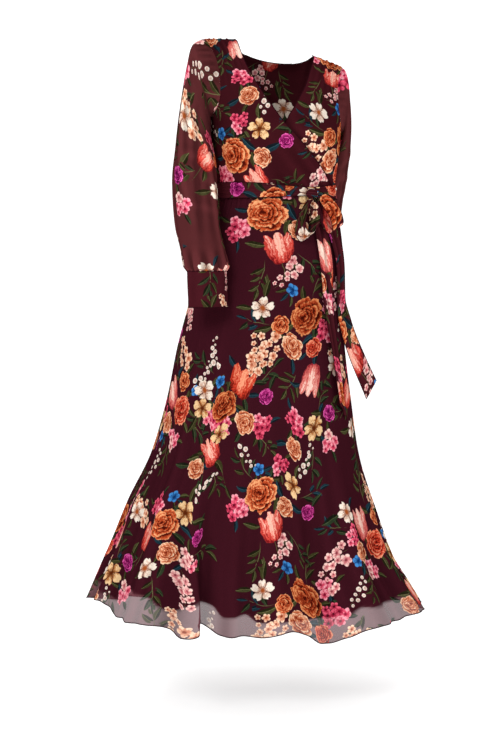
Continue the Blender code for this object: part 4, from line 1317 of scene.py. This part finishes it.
def print_group():
    """The print as a node group: its colour, and how far ink covers the ground."""
    tree = bpy.data.node_groups.new("painted flowers", "ShaderNodeTree")
    for name, kind in (("Color", "NodeSocketColor"), ("Ink", "NodeSocketFloat")):
        tree.interface.new_socket(name, in_out="OUTPUT", socket_type=kind)
    tree.interface.new_socket("Ground", in_out="INPUT", socket_type="NodeSocketColor")
    entry, out = tree.nodes.new("NodeGroupInput"), tree.nodes.new("NodeGroupOutput")
    painter = Painter(tree, entry.outputs["Ground"])
    big, small, leafy = LAYERS
    for paint, layers in ((painter.leaves, leafy), (painter.small_flowers, small), (painter.big_flowers, big)):
        for layer in layers:
            paint(layer)
    mottle = painter.strokes * 0.34 + (painter.ink * -0.09 + 0.79)
    painter.put(out.inputs["Color"], painter.dimmed(painter.shown, mottle))
    painter.put(out.inputs["Ink"], painter.ink)
    return tree


PRINT = print_group()


def material(name, roughness, specular=0.0):
    """A new material, with its node tree and the inputs of its shader."""
    made = bpy.data.materials.new(name)
    made.use_nodes = True
    sockets = made.node_tree.nodes["Principled BSDF"].inputs
    sockets["Roughness"].default_value = roughness
    sockets["Specular IOR Level"].default_value = specular
    return made, Graph(made.node_tree), sockets


def crepe(g, sockets, flat, strength, height):
    """The cloth's fine crepe grain, as a bump."""
    bump = g.node("Bump", {"Strength": strength, "Distance": height, "Height": g.noise(flat, 1400.0)})
    g.put(sockets["Normal"], bump)


def chiffon(name, ground, clear=1.0, printed_clear=1.0, unlined=None, folds=0.2):
    """Printed chiffon. clear and printed_clear are how much its ground and its ink cover what lies behind.
    folds is how much painted shade darkens the cloth deep in a fold, and painted light brightens it on a crest.
    unlined holds the same two where no lining lies behind the cloth, and the ground's tone there."""
    made, g, sockets = material(name, 0.75)
    shown = colour(ground)
    if unlined:
        sheer = g.mark("unlined")
        shown = g.mix(sheer, shown, colour(unlined[2]))
        clear = sheer * (unlined[0] - clear) + clear
        printed_clear = sheer * (unlined[1] - printed_clear) + printed_clear
    flowers = g.node("Group", {"Ground": shown}, "Color", node_tree=PRINT)
    ink = Value(g, flowers.socket.node.outputs["Ink"])
    # painted shade in the folds' hollows and painted light on their crests, from the fold mark
    g.put(sockets["Base Color"], g.dimmed(flowers, g.mark("fold") * -folds + 1.0))
    if unlined or clear < 1:
        g.put(sockets["Alpha"], ink * (printed_clear - clear) + clear)
    crepe(g, sockets, g.flat(), 0.35, 0.0004)
    return made


def plain_cloth(name, tone, roughness, bright):
    """Plain woven cloth in one colour, a little uneven."""
    made, g, sockets = material(name, roughness)
    flat = g.flat()
    g.put(sockets["Base Color"], g.dimmed(colour(tone), g.noise(flat, 60.0) * (2 * bright) + (1 - bright)))
    crepe(g, sockets, flat, 0.25, 0.0003)
    return made


# ---- the dress ----

unlined_skirt = (0.84, 0.93, "#673c43")
# folds sets how strongly each cloth's painted fold shade and crest light show
skirt_cloth = chiffon("printed chiffon, skirt", "#37111a", 0.985, 0.99, unlined=unlined_skirt, folds=0.14)
bodice_cloth = chiffon("printed chiffon, bodice", "#381117", folds=0.30)
sleeve_cloth = chiffon("printed chiffon, sleeves", "#512426", 0.98, 0.99, folds=0.34)
cuff_cloth = chiffon("printed chiffon, cuffs", "#40151c")
sash_cloth = chiffon("printed chiffon, sash", "#40151c", folds=0.30)
lining_cloth = plain_cloth("lining", "#341018", 0.6, 0.12)
edge_cloth = plain_cloth("rolled edges", "#2a0c13", 0.75, 0.05)

# the record's material slots
PRINTED, SHEER, LINED, SASH = "printed_chiffon", "sheer_chiffon", "lining", "sash_chiffon"

# Where the sheer hem lies double, so that it is less sheer: the fold's angle, its half width, and how much.
DOUBLED_FOLDS = rows_of(3, """
    -90 14 1.00   -39 3.4 0.95   -17.5 2.6 0.80   4 3 0.40   33 4 0.40   60 4 0.60   128 4 0.60   214 5 0.70
""")
SKIRT_GRID, LINING_GRID = (260, 200), (180, 90)  # columns and rows
FRONT_GRID, BACK_GRID = (72, 76), (120, 76)
BACK_NECK_COLUMNS = slice(44, 77)  # the columns of the back that end at its neckline
ARM_COLUMNS, SLEEVE_ROW_COUNT, CUFF_ROW_COUNT = 84, 150, 22
BAND_GRID, RIBBON_GRID, KNOT_GRID = (300, 14), (14, 90), (64, 40)


def dressed(name, grid, finish, nodes, slot, **on_cloth):
    """A cloth piece that replaces these nodes of the part."""
    piece = cloth(name, grid, finish, **on_cloth)
    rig.replaces(piece, *nodes)
    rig.slot(piece, slot)
    return piece


def show_unlined(mesh, *grid):
    """Marks how sheer each point of the skirt is: 0 where it is lined, and 1 below the lining's edge."""
    angle, level, _ = skirt_places(*grid)
    below = ease((LINING_HEM_LINE("level", angle) + 0.004 - level) / 0.008)
    double = sum(depth * ridge(degrees_apart(angle, place), half) for place, half, depth in DOUBLED_FOLDS)
    mark_points(mesh, "unlined", below * (1 - 0.55 * double))


def bodice():
    for hand, side, shift in ((1, "right", (0.348, 0.062)), (-1, "left", (-0.031, 0.413))):
        grid = front_form(hand, *FRONT_GRID)
        on_cloth = {"turn": -24 * hand, "shift": shift, "cut": "on the body"}
        nodes = ["bodice_front_" + side]
        front = dressed("bodice_cloth_front_" + side, grid, bodice_cloth, nodes, PRINTED, **on_cloth)
        wrap_edge = grid[:, -1] if hand > 0 else grid[:, 0]
        roll = rolled_edge("wrap_edge_" + side, wrap_edge, PRINTED, 0.0010)
        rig.sheet(
            front, flat=(0.34, 0.47), held="stretched", area=0.072, with_pieces=[roll], rests_on=["skirt_front"]
        )
    grid = back_form(*BACK_GRID)
    on_cloth = {"shift": (0.33, 0.12), "cut": "on the body"}
    back = dressed("bodice_cloth_back", grid, bodice_cloth, ["bodice_back"], PRINTED, **on_cloth)
    roll = rolled_edge("neck_edge_back", grid[-1, BACK_NECK_COLUMNS], PRINTED, 0.0010)
    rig.sheet(
        back, flat=(0.42, 0.40), held="stretched", area=0.125, with_pieces=[roll], rests_on=["skirt_back"]
    )


def skirt_and_lining():
    for part, first, last, shift, above in (
        ("front", -90, 90, (0.155, 0.192), "bodice_front_right"),
        ("back", 90, 270, (0.45, 0.34), "bodice_back"),
    ):
        grid = skirt_form(first, last, *SKIRT_GRID)
        on_cloth = {"middle": SKIRT_GRID[0] // 2, "shift": shift, "cut": "flared"}
        skirt = dressed("skirt_cloth_" + part, grid, skirt_cloth, ["skirt_" + part], PRINTED, **on_cloth)
        show_unlined(skirt.data, first, last, *SKIRT_GRID)
        hem = rolled_edge("skirt_hem_" + part, grid[0], PRINTED, 0.0012)
        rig.sheet(skirt, flat=(1.25, 1.04), held="gathered", area=0.77, with_pieces=[hem], rests_on=[above])
        inside = {"top_lift": -LAYER, "hem_lift": -0.012, "share": 0.90, "lean_share": 0.65, "fine": 0.0}
        grid = skirt_form(first, last, *LINING_GRID, LINING_HEM_LINE, **inside)
        on_cloth = {"middle": LINING_GRID[0] // 2, "printed": False, "cut": "flared"}
        lining = dressed("lining_cloth_" + part, grid, lining_cloth, ["lining_" + part], LINED, **on_cloth)
        hem = rolled_edge("lining_hem_" + part, grid[0], LINED, 0.0009, finish=lining_cloth)
        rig.sheet(
            lining, flat=(1.10, 0.98), held="gathered", area=0.64, with_pieces=[hem], rests_on=["skirt_" + part]
        )


def sleeve_and_cuff(side, hand, table, end, shift, cuff_shift):
    """side is -1 on the wearer's right and 1 on the left, and hand is its name."""
    grid = sleeve_form(side, table, ARM_COLUMNS, SLEEVE_ROW_COUNT)
    halves = ["sleeve_%s_front" % hand, "sleeve_%s_back" % hand]
    sleeve = dressed("sleeve_cloth_" + hand, grid, sleeve_cloth, halves, SHEER, closed=True, shift=shift)
    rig.sheet(sleeve, flat=(0.48, 0.60), held="hung", area=0.17, rests_on=["bodice_back"])
    grid = cuff_form(side, table, end, ARM_COLUMNS, CUFF_ROW_COUNT)
    on_cloth = {"closed": True, "shift": cuff_shift}
    cuff = dressed("cuff_cloth_" + hand, grid, cuff_cloth, ["cuff_" + hand], PRINTED, **on_cloth)
    low = rolled_edge("cuff_edge_" + hand, grid[0], PRINTED, 0.0011, closed=True)
    top = rolled_edge("cuff_seam_" + hand, grid[-1], PRINTED, 0.0012, closed=True)
    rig.sheet(cuff, flat=(0.265, 0.083), held="hung", with_pieces=[low, top], rests_on=[sleeve])


def sash():
    grid = sash_form(*BAND_GRID)
    on_cloth = {"closed": True, "middle": BAND_GRID[0] // 4, "turn": 180, "shift": (-0.183, 0.134)}
    band = dressed("sash_cloth_band", grid, sash_cloth, ["sash_band"], SASH, **on_cloth)
    low = rolled_edge("sash_edge_low", grid[0], SASH, 0.0008, closed=True)
    high = rolled_edge("sash_edge_high", grid[-1], SASH, 0.0008, closed=True)
    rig.sheet(band, flat=(0.79, 0.040), held="gathered", with_pieces=[low, high], rests_on=["bodice_back"])
    for name, table, slant, flat, area, shift, seed in (
        ("sash_loop_left", LOOP_LEFT, 0.0, (0.040, 0.205), None, (0.116, 0.198), 0.4),
        ("sash_loop_right", LOOP_RIGHT, 0.0, (0.040, 0.205), None, (0.130, 0.370), 1.6),
        ("sash_tail_long", TAIL_LONG, 0.06, (0.052, 0.52), 0.0225, (0.430, 0.095), 2.3),
        ("sash_tail_side", TAIL_SIDE, -0.09, (0.052, 0.50), 0.0225, (0.160, 0.352), 3.1),
    ):
        grid = ribbon_form(table, *RIBBON_GRID, slant, seed)
        cloth_name = name.replace("sash", "sash_cloth")
        ribbon = dressed(cloth_name, grid, sash_cloth, [name], SASH, middle=RIBBON_GRID[0] // 2, shift=shift)
        edges = ((name + "_edge_0", grid[:, 0]), (name + "_edge_1", grid[:, -1]))
        rolls = [rolled_edge(edge, line, SASH, 0.0008) for edge, line in edges]
        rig.sheet(ribbon, flat=flat, area=area, held="hung", with_pieces=rolls, rests_on=["sash_knot"])
    on_cloth = {"closed": True, "middle": KNOT_GRID[0] // 4, "shift": (0.140, 0.290)}
    dressed("sash_cloth_knot", knot_form(*KNOT_GRID), sash_cloth, ["sash_knot"], SASH, **on_cloth)


bodice()
skirt_and_lining()
sleeve_and_cuff(-1, "right", RIGHT_SLEEVE, RIGHT_CUFF_END, (0.30, 0.48), (0.39, 0.56))
sleeve_and_cuff(1, "left", LEFT_SLEEVE, LEFT_CUFF_END, (0.40, 0.33), (0.45, 0.50))
sash()

# ---- studio ----

WORLD_STRENGTH = 0.62
BACKDROP_GREY = 0.85
BACKDROP_GLOW = 0.50
FLOOR = HEM - 0.19
BACKDROP_REACH = 16.0  # how far it runs to each side, to the front and back, and up
BEND = 3.0  # radius of the bend between the floor and the upright part


def studio_light(name, place, aim, size, power):
    light = bpy.data.lights.new(name, "AREA")
    light.shape, light.size, light.energy = "DISK", size, power
    lamp = place_in_scene(name, light)
    lamp.location = place
    lamp.rotation_euler = (Vector(aim) - Vector(place)).to_track_quat("-Z", "Y").to_euler()


def studio_backdrop():
    finish, _, sockets = material("backdrop", 0.9, 0.1)
    sockets["Base Color"].default_value = (BACKDROP_GREY, BACKDROP_GREY, BACKDROP_GREY, 1)
    sockets["Emission Color"].default_value = (1, 1, 1, 1)
    sockets["Emission Strength"].default_value = BACKDROP_GLOW
    turn = np.linspace(0, np.pi / 2, 24)
    bent = np.stack([BACKDROP_REACH - BEND + BEND * np.sin(turn), FLOOR + BEND * (1 - np.cos(turn))], axis=1)
    profile = np.concatenate([[(-BACKDROP_REACH, FLOOR)], bent, [(BACKDROP_REACH, FLOOR + BACKDROP_REACH)]])
    points = np.array([[(x, y, z) for x in (-BACKDROP_REACH, BACKDROP_REACH)] for y, z in profile])
    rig.stage(mesh_object("backdrop", points, grid_faces(len(profile), 2), finish))


studio_light("key", (-2.6, -3.8, 1.8), (0, 0, -0.7), 1.8, 120)
studio_light("fill", (3.0, -3.6, 0.4), (0, 0, -0.8), 2.4, 25)
studio_light("back", (0.8, 3.2, 1.4), (0, 0, -0.6), 2.0, 30)
bpy.context.scene.view_settings.view_transform = "Standard"
world = bpy.data.worlds.new("studio")
bpy.context.scene.world = world
world.use_nodes = True
background = world.node_tree.nodes["Background"].inputs
background["Color"].default_value = (1.0, 1.0, 1.0, 1.0)
background["Strength"].default_value = WORLD_STRENGTH
studio_backdrop()

# ---- camera ----

LENS, SENSOR = 86.68, 36.0  # millimetres
CAMERA_AT = (-0.94973, -4.09196, -0.4943)
CAMERA_LOOKS = (0.20750483, 0.97623346, -0.06252978)  # the way it looks

camera = bpy.data.cameras.new("camera")
camera.lens, camera.sensor_width, camera.clip_end = LENS, SENSOR, 60.0
view = place_in_scene("camera", camera)
look = Vector(CAMERA_LOOKS).normalized()
right = look.cross(Vector((0, 0, 1))).normalized()
facing = Matrix((right, right.cross(look), -look)).transposed().to_4x4()
view.matrix_world = Matrix.Translation(CAMERA_AT) @ facing
bpy.context.scene.camera = view

with open("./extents.json", "w") as out:
    json.dump({"cad": CAD_BOX, "visual": [list(corner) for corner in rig.bounds()]}, out)
